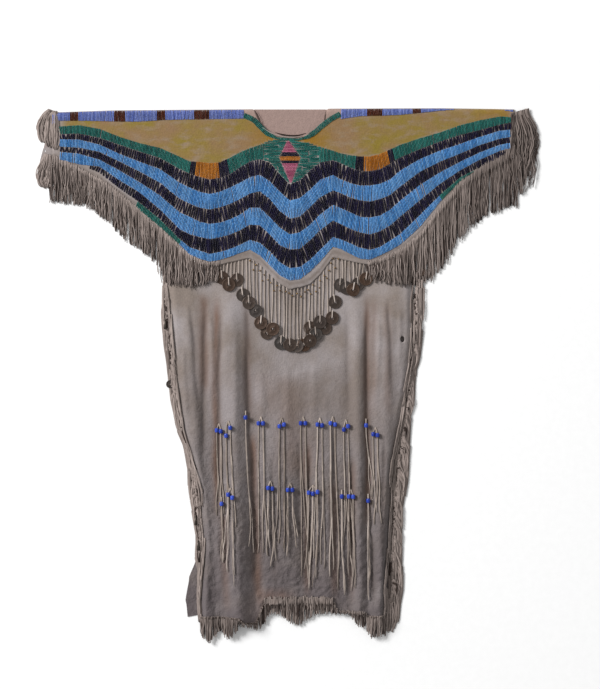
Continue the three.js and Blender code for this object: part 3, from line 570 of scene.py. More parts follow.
@dataclass(frozen=True)
class BrainTannedHide:
    """Smoked deer hide with a suede face: matt, mottled, a little fuzzy at grazing light.

    Attributes:
        name: The material's name.
        light: Colour of the clean nap.
        dark: Colour of the handled nap.
        soil_and_shade: Colour that darkens the hide towards the hem, partly soil and partly painted
            shade.
        paint: Colours of the rubbed-in paint, or None.
        flesh: Colour of the bare inner face above the neck, or None.
    """

    name: str
    light: str = "#9f9797"
    dark: str = "#847870"
    soil_and_shade: str = "#5d5556"
    paint: tuple[str, str, str, str] | None = None
    flesh: str | None = None

    def build(self) -> Material:
        """Makes the material."""
        material, tree, shader = start_material(self.name)
        place = object_place(tree)
        parts = add_node(tree, "ShaderNodeSeparateXYZ", None, {"Vector": place})
        up_dress = parts.outputs["Y"]
        # Cloudy handling marks of 20 to 120 mm over the nap
        coats = Coats(tree, linear(self.light))
        coats.lay(noise(tree, place, 9.0, 4.0), self.dark)
        # Nap of 0.5 mm, drawn at 3 mm so that it shows
        nap = noise(tree, place, 330.0, 2.0, 0.25, 0.75)
        speck = coats.speckle(nap, (0.86, 0.86, 0.86), (1.12, 1.12, 1.11))
        # Small dark stains of 4 to 15 mm
        fade = add_node(tree, "ShaderNodeMath", {"operation": "MULTIPLY"}, {
            0: noise(tree, place, 46.0, 3.0, 0.66, 0.76), 1: 0.3,
        })
        coats.lay(fade.outputs[0], "#6a5a50")
        # Darker towards the hem, in cloudy patches: partly soil, partly painted shade of the light
        # falling off downwards
        down = add_node(tree, "ShaderNodeMapRange", {"clamp": True}, {
            "Value": up_dress, "From Min": 0.24, "From Max": -0.54,
        })
        soil_and_shade_share = add_node(tree, "ShaderNodeMath", {"operation": "MULTIPLY"}, {
            0: down.outputs["Result"], 1: noise(tree, place, 14.0, 5.0, -0.1, 0.52),
        })
        coats.lay(soil_and_shade_share.outputs[0], self.soil_and_shade)
        # Brown marks that follow the troughs of the folds: partly smoke and sweat stains, partly
        # painted shade in the troughs
        traits = {
            name: add_node(tree, "ShaderNodeAttribute", {"attribute_name": name}).outputs["Fac"]
            for name in ("stain_and_shade", "grime_and_shade", "worn", "bare", "tips", "paint")
        }
        uneven = add_node(tree, "ShaderNodeMath", {"operation": "MULTIPLY"}, {
            0: traits["stain_and_shade"],
            1: noise(tree, object_place(tree, (2.0, 0.5, 1.0)), 12.0, 3.0, 0.1, 0.6),
        })
        coats.lay(uneven.outputs[0], "#6f5344")
        # Painted shade in the bottoms of the creases
        coats.lay(traits["grime_and_shade"], "#4b413d")
        if self.paint:
            # Below the beads the rim is handled and brown
            coats.lay(traits["worn"], "#786d67")
            coats.lay(traits["bare"], self.flesh)
            warm, bright, pale, orange = self.paint
            ochre = Coats(tree, linear(warm))
            ochre.lay(noise(tree, place, 13.0, 4.0, 0.38, 0.66), bright)
            rubbed = noise(tree, object_place(tree, (1.0, 2.2, 1.0)), 34.0, 5.0, 0.48, 0.72)
            ochre.lay(rubbed, pale)
            ochre.lay(traits["tips"], orange)
            ochre.lay(1.0, speck, "MULTIPLY")
            coats.lay(traits["paint"], ochre.colour)
        elif self.flesh:
            top = add_node(tree, "ShaderNodeMapRange", {"clamp": True}, {
                "Value": up_dress, "From Min": 0.545, "From Max": 0.56,
            })
            fleshy = Coats(tree, linear(self.flesh))
            fleshy.lay(1.0, speck, "MULTIPLY")
            coats.lay(top.outputs["Result"], fleshy.colour)
        # Grain of 1 mm drawn at 3 mm, over soft pebbling of 12 mm
        relief = add_node(tree, "ShaderNodeMath", {"operation": "MULTIPLY_ADD"}, {
            0: nap, 1: 0.35, 2: noise(tree, place, 85.0, 4.0, 0.2, 0.8),
        })
        # The washed lower part is more crinkled
        crinkled = add_node(tree, "ShaderNodeMapRange", {"clamp": True}, {
            "Value": up_dress, "From Min": 0.1, "From Max": -0.35,
            "To Min": 0.0012, "To Max": 0.0052,
        })
        bump = add_node(tree, "ShaderNodeBump", None, {
            "Height": relief.outputs[0], "Strength": 0.55,
            "Distance": crinkled.outputs["Result"],
        })
        connect(tree, shader, {
            "Base Color": coats.colour, "Normal": bump.outputs["Normal"], "Roughness": 0.92,
            "Sheen Weight": 0.12, "Sheen Roughness": 0.6, "Specular IOR Level": 0.2,
        })
        return material


@dataclass(frozen=True)
class CutThong:
    """Hide cut into strands: matt, streaked along, each strand between a light and a dark tone.

    Attributes:
        name: The material's name.
        light: Colour of a clean strand.
        dark: Colour of the darkest strands, some dirty, and of the painted shade between strands.
    """

    name: str
    light: str = "#a0938d"
    dark: str = "#2b1e19"

    def build(self) -> Material:
        """Makes the material."""
        material, tree, shader = start_material(self.name)
        tone = add_node(tree, "ShaderNodeAttribute", {"attribute_name": "tone"})
        coats = Coats(tree, linear(self.dark))
        coats.lay(tone.outputs["Fac"], self.light)
        # Streaks of 1 mm along the strand, drawn at 4 mm
        streaks = noise(tree, object_place(tree, (1.0, 0.22, 1.0)), 260.0, 3.0, 0.3, 0.7)
        coats.speckle(streaks, (0.78, 0.77, 0.76), (1.14, 1.13, 1.12))
        bump = add_node(tree, "ShaderNodeBump", None, {
            "Height": streaks, "Strength": 0.5, "Distance": 0.0008,
        })
        connect(tree, shader, {
            "Base Color": coats.colour, "Normal": bump.outputs["Normal"], "Roughness": 0.88,
            "Sheen Weight": 0.1, "Specular IOR Level": 0.25,
        })
        return material


@dataclass(frozen=True)
class DrawnGlass:
    """Opaque drawn glass beads: smooth, with small bright glints, each a little off in tone.

    Attributes:
        name: The material's name.
        dark: Colour of the darkest beads.
        light: Colour of the lightest.
        roughness: How soft the glints are.
    """

    name: str
    dark: str
    light: str
    roughness: float = 0.3

    def build(self) -> Material:
        """Makes the material."""
        material, tree, shader = start_material(self.name)
        tone = add_node(tree, "ShaderNodeAttribute", {"attribute_name": "tone"})
        coats = Coats(tree, linear(self.dark))
        coats.lay(tone.outputs["Fac"], self.light)
        # Grime in clouds of 30 mm dulls the beads between its patches
        grime_and_shade = noise(tree, object_place(tree), 30.0, 4.0, 0.3, 0.7)
        coats.speckle(grime_and_shade, (0.84, 0.83, 0.82), (1.08, 1.08, 1.08))
        connect(tree, shader, {
            "Base Color": coats.colour, "Roughness": self.roughness, "IOR": 1.51,
            "Specular IOR Level": 0.18,
        })
        return material


@dataclass(frozen=True)
class AgedBrass:
    """Cast brass, long handled: brown tarnish in the field, yellower metal on what is raised.

    Attributes:
        name: The material's name.
        grey: Colour of the dark film on some.
        brown: Colour of the dark film on others.
        metal: Colour of the rubbed metal.
    """

    name: str
    grey: str = "#454241"
    brown: str = "#4d3729"
    metal: str = "#75655a"

    def build(self) -> Material:
        """Makes the material."""
        material, tree, shader = start_material(self.name)
        tone, patina = (
            add_node(tree, "ShaderNodeAttribute", {"attribute_name": name}).outputs["Fac"]
            for name in ("tone", "patina")
        )
        # Spots of tarnish of about 5 mm
        spots = noise(tree, object_place(tree), 220.0, 4.0, 0.35, 0.7)
        rubbed = add_node(tree, "ShaderNodeMath", {"operation": "MULTIPLY"}, {0: tone, 1: spots})
        coats = Coats(tree, linear(self.grey))
        coats.lay(patina, self.brown)
        coats.lay(rubbed.outputs[0], self.metal)
        rough = add_node(tree, "ShaderNodeMapRange", None, {
            "Value": spots, "To Min": 0.6, "To Max": 0.38,
        })
        bump = add_node(tree, "ShaderNodeBump", None, {
            "Height": spots, "Strength": 0.4, "Distance": 0.0004,
        })
        connect(tree, shader, {
            "Base Color": coats.colour, "Normal": bump.outputs["Normal"], "Metallic": 0.85,
            "Roughness": rough.outputs["Result"],
        })
        return material


@dataclass(frozen=True)
class RolledTin:
    """Tin cut from cans and rolled to a cone: dull grey, scratched along."""

    name: str = "rolled_tin"

    def build(self) -> Material:
        """Makes the material."""
        material, tree, shader = start_material(self.name)
        scratches = noise(tree, object_place(tree, (4.0, 0.5, 4.0)), 300.0, 4.0, 0.3, 0.7)
        coats = Coats(tree, linear("#3d3733"))
        coats.lay(scratches, "#6d655e")
        connect(tree, shader, {"Base Color": coats.colour, "Metallic": 0.9, "Roughness": 0.5})
        return material


@dataclass(frozen=True)
class StudioPaper:
    """Matt background paper, pale and even, with a faint tooth."""

    name: str = "studio_paper"

    def build(self) -> Material:
        """Makes the material."""
        material, tree, shader = start_material(self.name)
        coats = Coats(tree, linear("#fbfbfb"))
        coats.lay(noise(tree, object_place(tree), 60.0, 2.0), "#fdfdfd")
        connect(tree, shader, {
            "Base Color": coats.colour, "Roughness": 0.95, "Specular IOR Level": 0.1,
        })
        return material


def to_frame(places: Array) -> Array:
    """Turns (u, v, height) places to the row frame, still in millimetres."""
    out = np.array(places, float)
    out[..., 0] = places[..., 0] - U_MIDDLE
    out[..., 1] = V_MIDDLE - places[..., 1]
    return out


def outward(points: Array, faces: list[Array]) -> list[Array]:
    """Turns the faces of closed bodies so that they look outwards.

    Args:
        points: Corners.
        faces: Arrays of faces, each with one number of corners.

    Returns:
        The faces, all turned where the enclosed volume came out negative.
    """
    volume = 0.0
    for f in faces:
        for k in range(1, f.shape[1] - 1):
            a, b, c = points[f[:, 0]], points[f[:, k]], points[f[:, k + 1]]
            volume += float((a * np.cross(b, c)).sum())
    return faces if volume >= 0 else [f[:, ::-1] for f in faces]


def joined(bodies: list[Body]) -> Body:
    """Joins bodies to one.

    Args:
        bodies: Corners, faces and a tone for each corner, for every body.

    Returns:
        The same for all of them together.
    """
    points, faces, tones = zip(*bodies)
    firsts = np.cumsum([0] + [len(corners) for corners in points])
    moved = [f + first for quads, first in zip(faces, firsts) for f in quads]
    return np.concatenate(points), moved, np.concatenate(tones)


def ring_faces(rings: int, around: int) -> Array:
    """Quads from each ring of corners to the next, and from the last to the first."""
    index = np.arange(rings * around).reshape(rings, around)
    following = np.roll(index, -1, 0)
    quads = [index, np.roll(index, -1, 1), np.roll(following, -1, 1), following]
    return np.stack(quads, -1).reshape(-1, 4)


def bar_faces(bars: int, rings: int) -> list[Array]:
    """The sides and both ends of bars that have four corners to a ring."""
    index = np.arange(bars * rings * 4).reshape(bars, rings, 4)
    faces = []
    for k in range(4):
        n = (k + 1) % 4
        quad = [index[:, :-1, k], index[:, :-1, n], index[:, 1:, n], index[:, 1:, k]]
        faces.append(np.stack(quad, -1).reshape(-1, 4))
    return [*faces, index[:, 0, ::-1], index[:, -1]]


def add_piece(
    name: str,
    points: Array,
    faces: list[Array],
    material: Material,
    stands_for: tuple[str, ...] = (),
    traits: dict[str, Array] | None = None,
    rounded: bool = True,
) -> Piece:
    """Makes one piece of the dress out of closed bodies.

    Args:
        name: The piece's name.
        points: Corners in the row frame, in millimetres.
        faces: Arrays of faces.
        material: Its finish.
        stands_for: The solids that it takes the place of.
        traits: Values at the corners, for the finish.
        rounded: Whether it is shaded smooth.

    Returns:
        The piece.
    """
    used = np.unique(np.concatenate([f.ravel() for f in faces]))
    renumber = np.full(len(points), -1)
    renumber[used] = np.arange(len(used))
    kept = outward(points, faces)
    corners = np.concatenate([renumber[f].ravel() for f in kept])
    counts = np.concatenate([np.full(len(f), f.shape[1]) for f in kept])
    starts = np.concatenate([[0], np.cumsum(counts)[:-1]])
    mesh = bpy.data.meshes.new(name)
    mesh.vertices.add(len(used))
    mesh.vertices.foreach_set("co", (points[used] * MM).astype(np.float32).ravel())
    mesh.loops.add(len(corners))
    mesh.polygons.add(len(counts))
    mesh.polygons.foreach_set("loop_start", starts.astype(np.int32))
    mesh.loops.foreach_set("vertex_index", corners.astype(np.int32))
    mesh.update(calc_edges=True)
    mesh.polygons.foreach_set("use_smooth", np.full(len(counts), rounded))
    for trait, values in (traits or {}).items():
        layer = mesh.attributes.new(trait, "FLOAT", "POINT")
        layer.data.foreach_set("value", values[used].astype(np.float32))
    mesh.validate()
    mesh.materials.append(material)
    piece = bpy.data.objects.new(name, mesh)
    bpy.context.scene.collection.objects.link(piece)
    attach(piece, BODY)
    if stands_for:
        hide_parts(*stands_for)
    LOG.info("%s: %d triangles", name, (counts - 2).sum())
    return piece


def shell(top: Array, low: Array, kept: Array | None = None) -> tuple[Array, list[Array]]:
    """A closed sheet between two grids of places.

    Args:
        top: (rows, columns, 3) places of the outer face, rows downwards.
        low: The same for the inner face.
        kept: Which cells are there, or None for all.

    Returns:
        Corners in the row frame, and the faces.
    """
    rows, columns = top.shape[:2]
    kept = np.ones((rows - 1, columns - 1), bool) if kept is None else kept
    index = np.arange(rows * columns).reshape(rows, columns)
    a, b = index[:-1, :-1][kept], index[1:, :-1][kept]
    c, d = index[1:, 1:][kept], index[:-1, 1:][kept]
    count = rows * columns
    faces = [np.stack([a, b, c, d], 1), np.stack([a, d, c, b], 1) + count]
    room = np.pad(kept, 1)
    beside = {
        "left": (room[1:-1, :-2], index[:-1, :-1], index[1:, :-1]),
        "foot": (room[2:, 1:-1], index[1:, :-1], index[1:, 1:]),
        "right": (room[1:-1, 2:], index[1:, 1:], index[:-1, 1:]),
        "head": (room[:-2, 1:-1], index[:-1, 1:], index[:-1, :-1]),
    }
    for neighbour, first, second in beside.values():
        open_side = kept & ~neighbour
        p, q = first[open_side], second[open_side]
        faces.append(np.stack([q, p, p + count, q + count], 1))
    points = np.concatenate([top.reshape(-1, 3), low.reshape(-1, 3)])
    return to_frame(points), faces


@dataclass
class Ribbons:
    """Flat strands of hide, each a closed body that can turn about its own length.

    Attributes:
        paths: (strands, points, 3) places of the strands' undersides.
        wide: Widths, as (strands, points).
        twist: How far each is turned about its length, in radians.
        thick: Thickness.
    """

    paths: Array
    wide: Array
    twist: Array
    thick: float = 1.2

    def mesh(self) -> tuple[Array, list[Array]]:
        """Makes the strands.

        Returns:
            Corners in the row frame, and the faces.
        """
        run = np.gradient(self.paths, axis=1)
        flat = np.stack([-run[..., 1], run[..., 0], np.zeros(run.shape[:2])], -1)
        flat /= np.maximum(np.linalg.norm(flat, axis=-1, keepdims=True), 1e-6)
        up = np.zeros_like(flat)
        up[..., 2] = 1.0
        turn = self.twist[..., None]
        side = flat * np.cos(turn) + up * np.sin(turn)
        face = up * np.cos(turn) - flat * np.sin(turn)
        half = self.wide[..., None] / 2
        lift = half * np.abs(np.sin(turn)) + self.thick / 2 * np.abs(np.cos(turn))
        middle = self.paths + up * lift
        across, deep = side * half, face * self.thick / 2
        rings = np.stack([
            middle - across - deep, middle + across - deep,
            middle + across + deep, middle - across + deep,
        ], 2)
        return to_frame(rings.reshape(-1, 3)), bar_faces(*rings.shape[:2])

    def tone(self, values: Array) -> Array:
        """Spreads (strands, points) values over the strands' corners."""
        return np.repeat(values[..., None], 4, -1).ravel()


def hang(
    ground: Ground,
    line: Array,
    root_height: Array | float,
    stack: Array,
    ease: float = 26.0,
) -> Array:
    """Lays strands over the ground from the height of their roots.

    Args:
        ground: What is under them.
        line: (strands, points, 2) places.
        root_height: The height of each root, or of all.
        stack: How far each strand lies above the ground on others.
        ease: The length over which a strand drops from its root.

    Returns:
        (strands, points, 3) places.
    """
    step = np.linalg.norm(np.diff(line, axis=1), axis=-1)
    down = np.concatenate([np.zeros((len(line), 1)), np.cumsum(step, 1)], 1)
    base = ground.at(line[..., 0], line[..., 1])
    raised = np.maximum(np.reshape(root_height, (-1, 1)) - base[:, :1], 0.0)
    lifted = base + raised * np.exp(-down / ease)
    lifted = lifted + np.reshape(stack, (-1, 1)) * smooth(down / (2 * ease))
    return np.concatenate([line, lifted[..., None]], -1)


class Colour(Enum):
    """The colours of the beads."""

    GREEN = "green"
    NAVY = "navy"
    SKY = "sky"
    OCHRE = "ochre"
    ROSE = "rose"
    LILAC = "lilac"
    BROWN = "brown"


@dataclass
class BeadRow:
    """One string of beads between two ends.

    Attributes:
        start: The first end, (u, v).
        end: The other end.
        colour: The beads' colour.
        bow: How far the middle of the string stands above its ends.
        wide: The beads' width.
    """

    start: tuple[float, float]
    end: tuple[float, float]
    colour: Colour
    bow: float = 0.7
    wide: float = 3.05


@dataclass(frozen=True)
class NeckEdge:
    """What edges the neck: painted shadow lines down its sides, a pale thread, and painted shadow
    in the slit under the band.

    Attributes:
        finish: The cut hide that all of it is.
    """

    finish: Material

    # Each line: its width, tone, whether it lies on the yoke, and its places as u, v
    LINES = (
        # The two dark lines down the neck's sides are painted shadow along its edges
        (1.5, 0.05, True, ((-83, 3), (-77, 14), (-72, 24), (-71.5, 38))),
        (1.5, 0.05, True, ((86, 3), (84, 14), (83, 24), (82, 32))),
        (2.2, 1.0, True, ((-66, 43), (-48, 55), (-33, 61.5), (-12, 66), (12, 67), (30, 63))),
        # Painted shadow in the slit under the band, and a lighter band of it below
        (3.2, 0.0, False, ((-36, 54), (-24, 58), (-8, 61), (8, 62), (22, 61), (38, 56))),
        (2.2, 0.35, False, ((-22, 61), (-6, 64), (10, 65), (24, 63.5))),
    )
    STEPS = 14

    def build(self) -> Piece:
        """Lays the lines.

        Returns:
            The piece.
        """
        bodies = []
        for wide, tone, on_yoke, corners in self.LINES:
            places = np.array(corners, float)
            t = np.linspace(0, len(corners) - 1, self.STEPS)
            u, v = (np.interp(t, np.arange(len(corners)), places[:, k]) for k in (0, 1))
            over = 0.5 + 1.2 * tone
            height = yoke_low(u, v) + YOKE_THICK + over if on_yoke else np.full(len(t), 2.1)
            ends = np.minimum(1.0, 0.25 + 3 * np.minimum(t, t[-1] - t) / t[-1])
            path = np.stack([u, v, height], -1)[None]
            ribbons = Ribbons(path, (wide * ends)[None], np.zeros((1, len(t))), 0.5)
            made, quads = ribbons.mesh()
            bodies.append((made, quads, np.full(len(made), tone)))
        points, faces, tones = joined(bodies)
        return add_piece("edge_neck", points, faces, self.finish, (), {"tone": tones})


@dataclass
class Beadwork:
    """Seed beads strung in short rows and sewn down at their ends.

    Attributes:
        rng: Source of the chance in the beads' sizes.
        long: A bead's length along its string.
        tall: How high a bead stands on the hide.
    """

    rng: np.random.Generator
    long: float = 2.6
    tall: float = 1.7

    def mesh(self, rows: list[BeadRow]) -> tuple[Array, list[Array], Array]:
        """Strings the beads.

        Args:
            rows: The strings.

        Returns:
            Corners in the row frame, the faces, and a tone for each corner.
        """
        spots, runs, bows, tones, girths = [], [], [], [], []
        for row in rows:
            start, end = np.array(row.start), np.array(row.end)
            length = float(np.linalg.norm(end - start))
            count = max(1, round(length / self.long))
            t = (np.arange(count) + 0.5) / count
            spots.append(start + (end - start) * t[:, None])
            runs.append(np.tile((end - start) / max(length, 1e-6), (count, 1)))
            bows.append(row.bow * 4 * t * (1 - t))
            tones.append(np.full(count, self.rng.normal(0.0, 0.3)))
            girths.append(np.full(count, row.wide))
        spot, run = np.concatenate(spots), np.concatenate(runs)
        count = len(spot)
        spot = spot + self.rng.normal(0.0, 0.12, (count, 2))
        u, v = spot[:, 0], spot[:, 1]
        height = yoke_low(u, v) + YOKE_THICK - 0.15 + np.concatenate(bows)
        size = self.rng.normal(1.0, 0.05, (count, 1, 1))
        side = np.stack([-run[:, 1], run[:, 0]], 1)
        angles = np.radians([0.0, 60.0, 120.0, 180.0])
        half = np.concatenate(girths)[:, None, None] / 2
        arc = np.stack([np.cos(angles), np.sin(angles) * self.tall], 1)
        rings = []
        for offset, girth in ((-0.5, 0.91), (0.0, 1.0), (0.5, 0.91)):
            place = np.zeros((count, 4, 3))
            ahead = run[:, None, :] * self.long * offset
            aside = side[:, None, :] * arc[None, :, :1] * half * girth
            place[..., :2] = spot[:, None, :] + (ahead + aside) * size
            place[..., 2] = height[:, None] + arc[None, :, 1] * girth * size[..., 0]
            rings.append(place)
        points = np.stack(rings, 1).reshape(-1, 3)
        tone = 0.5 + np.concatenate(tones) + self.rng.normal(0.0, 0.2, count)
        tone = np.repeat(np.clip(tone, 0, 1), len(points) // count)
        return to_frame(points), bar_faces(count, len(rings)), tone


@dataclass
class Lane:
    """A lane of short strings, side by side, between two long curves.

    Attributes:
        top: The upper curve.
        foot: The lower curve.
        start: Where it starts, as u.
        end: Where it ends.
        colour: The beads' colour at a place along it.
        pitch: Distance between strings.
        lean: Share of the lane's own slope that the strings take.
        sway: Spread of the strings' slant, in radians.
        gaps: How often the thread shows between two strings.
        gap: How wide such a gap is.
        bow: How far a string stands up in its middle.
        trim: What stays free at both ends of a string.
        wide: The beads' width.
        loose: From where to where, as u, the strings lie scattered.
        patchy: How much the gaps crowd together in stretches, from 0 to 1.
    """

    top: Curve
    foot: Curve
    start: float
    end: float
    colour: Callable[[float], Colour]
    pitch: float = 3.3
    lean: float = 0.5
    sway: float = 0.03
    gaps: Callable[[float], float] = lambda u: 0.0
    gap: float = 1.1
    bow: float = 0.8
    trim: float = 0.45
    wide: float = 3.05
    loose: tuple[float, float] = (-1e9, -1e9)
    patchy: float = 0.0

    def rows(self, rng: np.random.Generator) -> list[BeadRow]:
        """Lays out the strings.

        Args:
            rng: Source of their unevenness.

        Returns:
            The strings in order.
        """
        made = []
        u = self.start
        while u < self.end:
            middle = float(self.top(u) + self.foot(u)) / 2
            ahead = float(self.top(u + 3) + self.foot(u + 3)) / 2
            slope = (ahead - middle) / 3
            before, after = max(u - 28, self.start), min(u + 28, self.end)
            general = float(
                self.top(after) + self.foot(after) - self.top(before) - self.foot(before)
            ) / 2 / (after - before)
            scattered = self.loose[0] <= u <= self.loose[1]
            slant = math.atan(general) * self.lean
            long = float(self.foot(u) - self.top(u))
            steady = min(1.0, 26.0 / max(long, 1.0))
            slant += rng.normal(0.0, self.sway * (2.6 if scattered else steady))
            run = np.array([-math.sin(slant), math.cos(slant)])
            ends = []
            for curve, trim in ((self.top, self.trim), (self.foot, -self.trim)):
                t = 0.0
                for _ in range(4):
                    spot_u, spot_v = u + t * run[0], middle + t * run[1]
                    t -= (spot_v - float(curve(spot_u)) - trim) / (run[1] - slope * run[0])
                ends.append((u + t * run[0], middle + t * run[1]))
            if ends[1][1] - ends[0][1] > 2.0:
                made.append(BeadRow(ends[0], ends[1], self.colour(u), self.bow, self.wide))
            tilt = math.atan(slope)
            step = self.pitch * math.cos(tilt) / max(math.cos(tilt - slant), 0.5)
            stretch = float(ripple(np.array(u), np.array(self.start), 24.0, 9.0, 14))
            often = self.gaps(u) * (1.0 + self.patchy * stretch * 1.4)
            if rng.random() < (0.6 if scattered else often):
                step += self.gap * rng.uniform(0.6, 1.5) * (1.6 if scattered else 1.0)
            u += step
        return made


class BackHide:
    """The hide that lies on the ground, flat, with the animal's edge left on."""

    def outline(self) -> list[tuple[float, float]]:
        """The cut's corners, with a slightly uneven edge between them."""
        made = []
        for (u0, v0), (u1, v1) in zip(BACK_OUTLINE, BACK_OUTLINE[1:] + BACK_OUTLINE[:1]):
            steps = max(1, round(math.hypot(u1 - u0, v1 - v0) / 9))
            for k in range(steps):
                made.append((mix(u0, u1, k / steps), mix(v0, v1, k / steps)))
        places = np.array(made)
        places[:, 0] += 1.0 * ripple(places[:, 0], places[:, 1], 14, 14, 21)
        return [tuple(p) for p in places]

    def build(self, finish: Material) -> Piece:
        """Cuts the hide.

        Args:
            finish: Its material.

        Returns:
            The piece.
        """
        outline = self.outline()
        u, v, wide, tall = BACK_HOLE
        hole = [
            (u + wide / 2 * math.cos(a), v - tall / 2 * math.sin(a))
            for a in np.linspace(0, 2 * math.pi, 11)[:-1]
        ]
        loops = [outline, hole]
        flat = [[Vector((*p, 0.0)) for p in loop] for loop in loops]
        triangles = np.array(tessellate_polygon(flat))
        corners = np.array(outline + hole)
        count = len(corners)
        a, b, c = (corners[triangles[:, k]] for k in range(3))
        turn = (b[:, 0] - a[:, 0]) * (c[:, 1] - a[:, 1]) - (b[:, 1] - a[:, 1]) * (c[:, 0] - a[:, 0])
        triangles = np.where((turn > 0)[:, None], triangles[:, ::-1], triangles)
        top = np.column_stack([corners, np.full(count, BACK_TOP)])
        low = np.column_stack([corners, np.full(count, BACK_LOW)])
        faces = [np.concatenate([triangles, triangles[:, ::-1] + count])]
        start = 0
        for loop in loops:
            p = np.arange(len(loop)) + start
            q = np.roll(p, -1)
            faces.append(np.stack([q, p, p + count, q + count], 1))
            start += len(loop)
        points = to_frame(np.concatenate([top, low]))
        return add_piece(
            "hide_back", points, faces, finish, ("back_hide",), rounded=False
        )


class FrontHide:
    """The hide over it, from under the yoke to the hem, with the skirt's long soft folds."""

    COLUMNS, ROWS = 180, 240
    # Where its rows start and end, as v, before they follow the shoulder and the hem
    TOP, FOOT = 11, 1217
    NECK_HALF, NECK_FADE, NECK_V = 72.0, 50.0, 90.0

    def build(self, finish: Material) -> Piece:
        """Cuts and lays the hide.

        Args:
            finish: Its material.

        Returns:
            The piece.
        """
        lines = np.concatenate([
            np.linspace(self.TOP, 330, 40)[:-1], np.linspace(330, self.FOOT, self.ROWS - 39),
        ])
        across = np.linspace(0, 1, self.COLUMNS + 1)
        v = np.repeat(lines[:, None], self.COLUMNS + 1, 1)
        left, right = front_left(v), front_right(v)
        u = mix(left, right, across[None, :])
        # The first rows follow the shoulder and neck, and the last the hem
        within = smooth((self.NECK_HALF + self.NECK_FADE - np.abs(u)) / self.NECK_FADE)
        head = mix(shoulder(u) + ROLL_REACH + 2, self.NECK_V, within)
        v = v + (head - self.TOP) * (1 - smooth((v - self.TOP) / 140))
        v = v + (hem(u) - self.FOOT) * smooth((v - 1100) / 117)
        edge = np.minimum(across, 1 - across)[None, :] * (right - left)
        wander = 1.6 * ripple(u * 0 + np.sign(across - 0.5) * 50, v, 30, 22, 8)
        u = u + wander * (1 - smooth(edge / 30))
        hole_u, hole_v, wide, tall = FRONT_HOLE
        reach = np.hypot((u - hole_u) / wide * 2, (v - hole_v) / tall * 2)
        near = reach < 1.35
        push = np.where(near, np.maximum(reach, 0.25), 1.0)
        u = np.where(near, hole_u + (u - hole_u) / push, u)
        v = np.where(near, hole_v + (v - hole_v) / push, v)
        cell = (reach[:-1, :-1] + reach[1:, :-1] + reach[1:, 1:] + reach[:-1, 1:]) / 4
        low = front_low(u, v)
        top = np.stack([u, v, low + FRONT_THICK], -1)
        under = np.stack([u, v, low], -1)
        points, faces = shell(top, under, cell > 0.95)
        # Painted shade in the creases' troughs, darker the deeper they go
        grime_and_shade = np.clip(-creases(u, v) / 7.0, 0.0, 0.6)
        under_hem = 0.55 * smooth((v - 1135) / 30) * np.exp(-(((u + 38) / 44) ** 2))
        traits = {"stain_and_shade": self.stain_and_shade(u, v) + under_hem, "grime_and_shade": grime_and_shade}
        traits = {name: np.tile(values.ravel(), 2) for name, values in traits.items()}
        return add_piece("hide_front", points, faces, finish, ("front_hide",), traits)

    def stain_and_shade(self, u: Array, v: Array) -> Array:
        """How brown the hide is at each place, most in the troughs: partly stain, partly painted
        shade.
        """
        brown = np.zeros(np.shape(u))
        for top_u, top_v, foot_u, foot_v, weight, half in STAIN_AND_SHADE_MARKS:
            t = (v - top_v) / (foot_v - top_v)
            wander = 3.0 * ripple(v, v * 0 + top_u, 70.0, 9.0, 6)
            across = (u - mix(top_u, foot_u, t) - wander) / half
            brown += weight * smooth(t / 0.12) * smooth((1.0 - t) / 0.2) * np.exp(-(across**2))
        return np.clip(brown, 0.0, 0.9)


class Yoke:
    """The hide's tail turned over at the shoulder, painted above the beads."""

    # Rows down to the rim, and closer ones along it
    ROWS, RIM_ROWS, RIM_SHARE = 38, 10, 0.08

    def stations(self) -> Array:
        """The columns' places across, with the neck's ends and corners among them."""
        made = np.concatenate([
            np.arange(YOKE_LEFT, -86, 4.6), np.linspace(-86, 88, 48),
            np.arange(92.6, YOKE_RIGHT, 4.6), [YOKE_RIGHT],
        ])
        return np.unique(np.round(made, 3))

    def build(self, finish: Material) -> Piece:
        """Cuts and lays the yoke.

        Args:
            finish: Its material.

        Returns:
            The piece.
        """
        stations = self.stations()
        t = np.concatenate([
            np.linspace(0, 1 - self.RIM_SHARE, self.ROWS + 1),
            np.linspace(1 - self.RIM_SHARE, 1, self.RIM_ROWS + 1)[1:],
        ])[:, None]
        u = np.repeat(stations[None, :], len(t), 0)
        foot = rim(u) + 1.2 * ripple(u, u * 0, 16, 16, 9)
        v = mix(yoke_top(u), foot, t)
        low = yoke_low(u, v)
        top = np.stack([u, v, low + YOKE_THICK], -1)
        under = np.stack([u, v, low], -1)
        points, faces = shell(top, under)
        green = along(LANES, 1)(u)
        paint = smooth((v - strip_edge(u) + 6) / 6) * smooth((green + 6 - v) / 6)
        paint = paint * smooth((u + 560) / 30) * smooth((545 - u) / 30)
        # No paint above the neck band
        band = np.interp(u, [p[0] for p in NECK_BAND], [p[1] for p in NECK_BAND])
        paint = np.where((u > BAND_LEFT) & (u < BAND_RIGHT) & (v < band), 0.0, paint)
        tips = np.exp(-(((u + 34) / 50) ** 2)) + np.exp(-(((u - 46) / 44) ** 2))
        tips = tips + 0.5 * smooth((u - 420) / 70)
        bare = np.where((u > -116) & (u < 126) & (v < band), 1.0, 0.0)
        seam = np.exp(-(((v - rim(u) + 13) / 4.5) ** 2))
        worn = smooth((v - rim(u) + 26) / 14) * (0.35 + 0.25 * ripple(u, v, 6, 5, 33)) + 0.5 * seam
        worn = np.clip(worn, 0.0, 1.0)
        fields = {"paint": paint, "tips": tips, "bare": bare, "worn": worn}
        traits = {name: np.tile(values.ravel(), 2) for name, values in fields.items()}
        return add_piece(
            "yoke_hide", points, faces, finish, ("front_yoke",), traits
        )


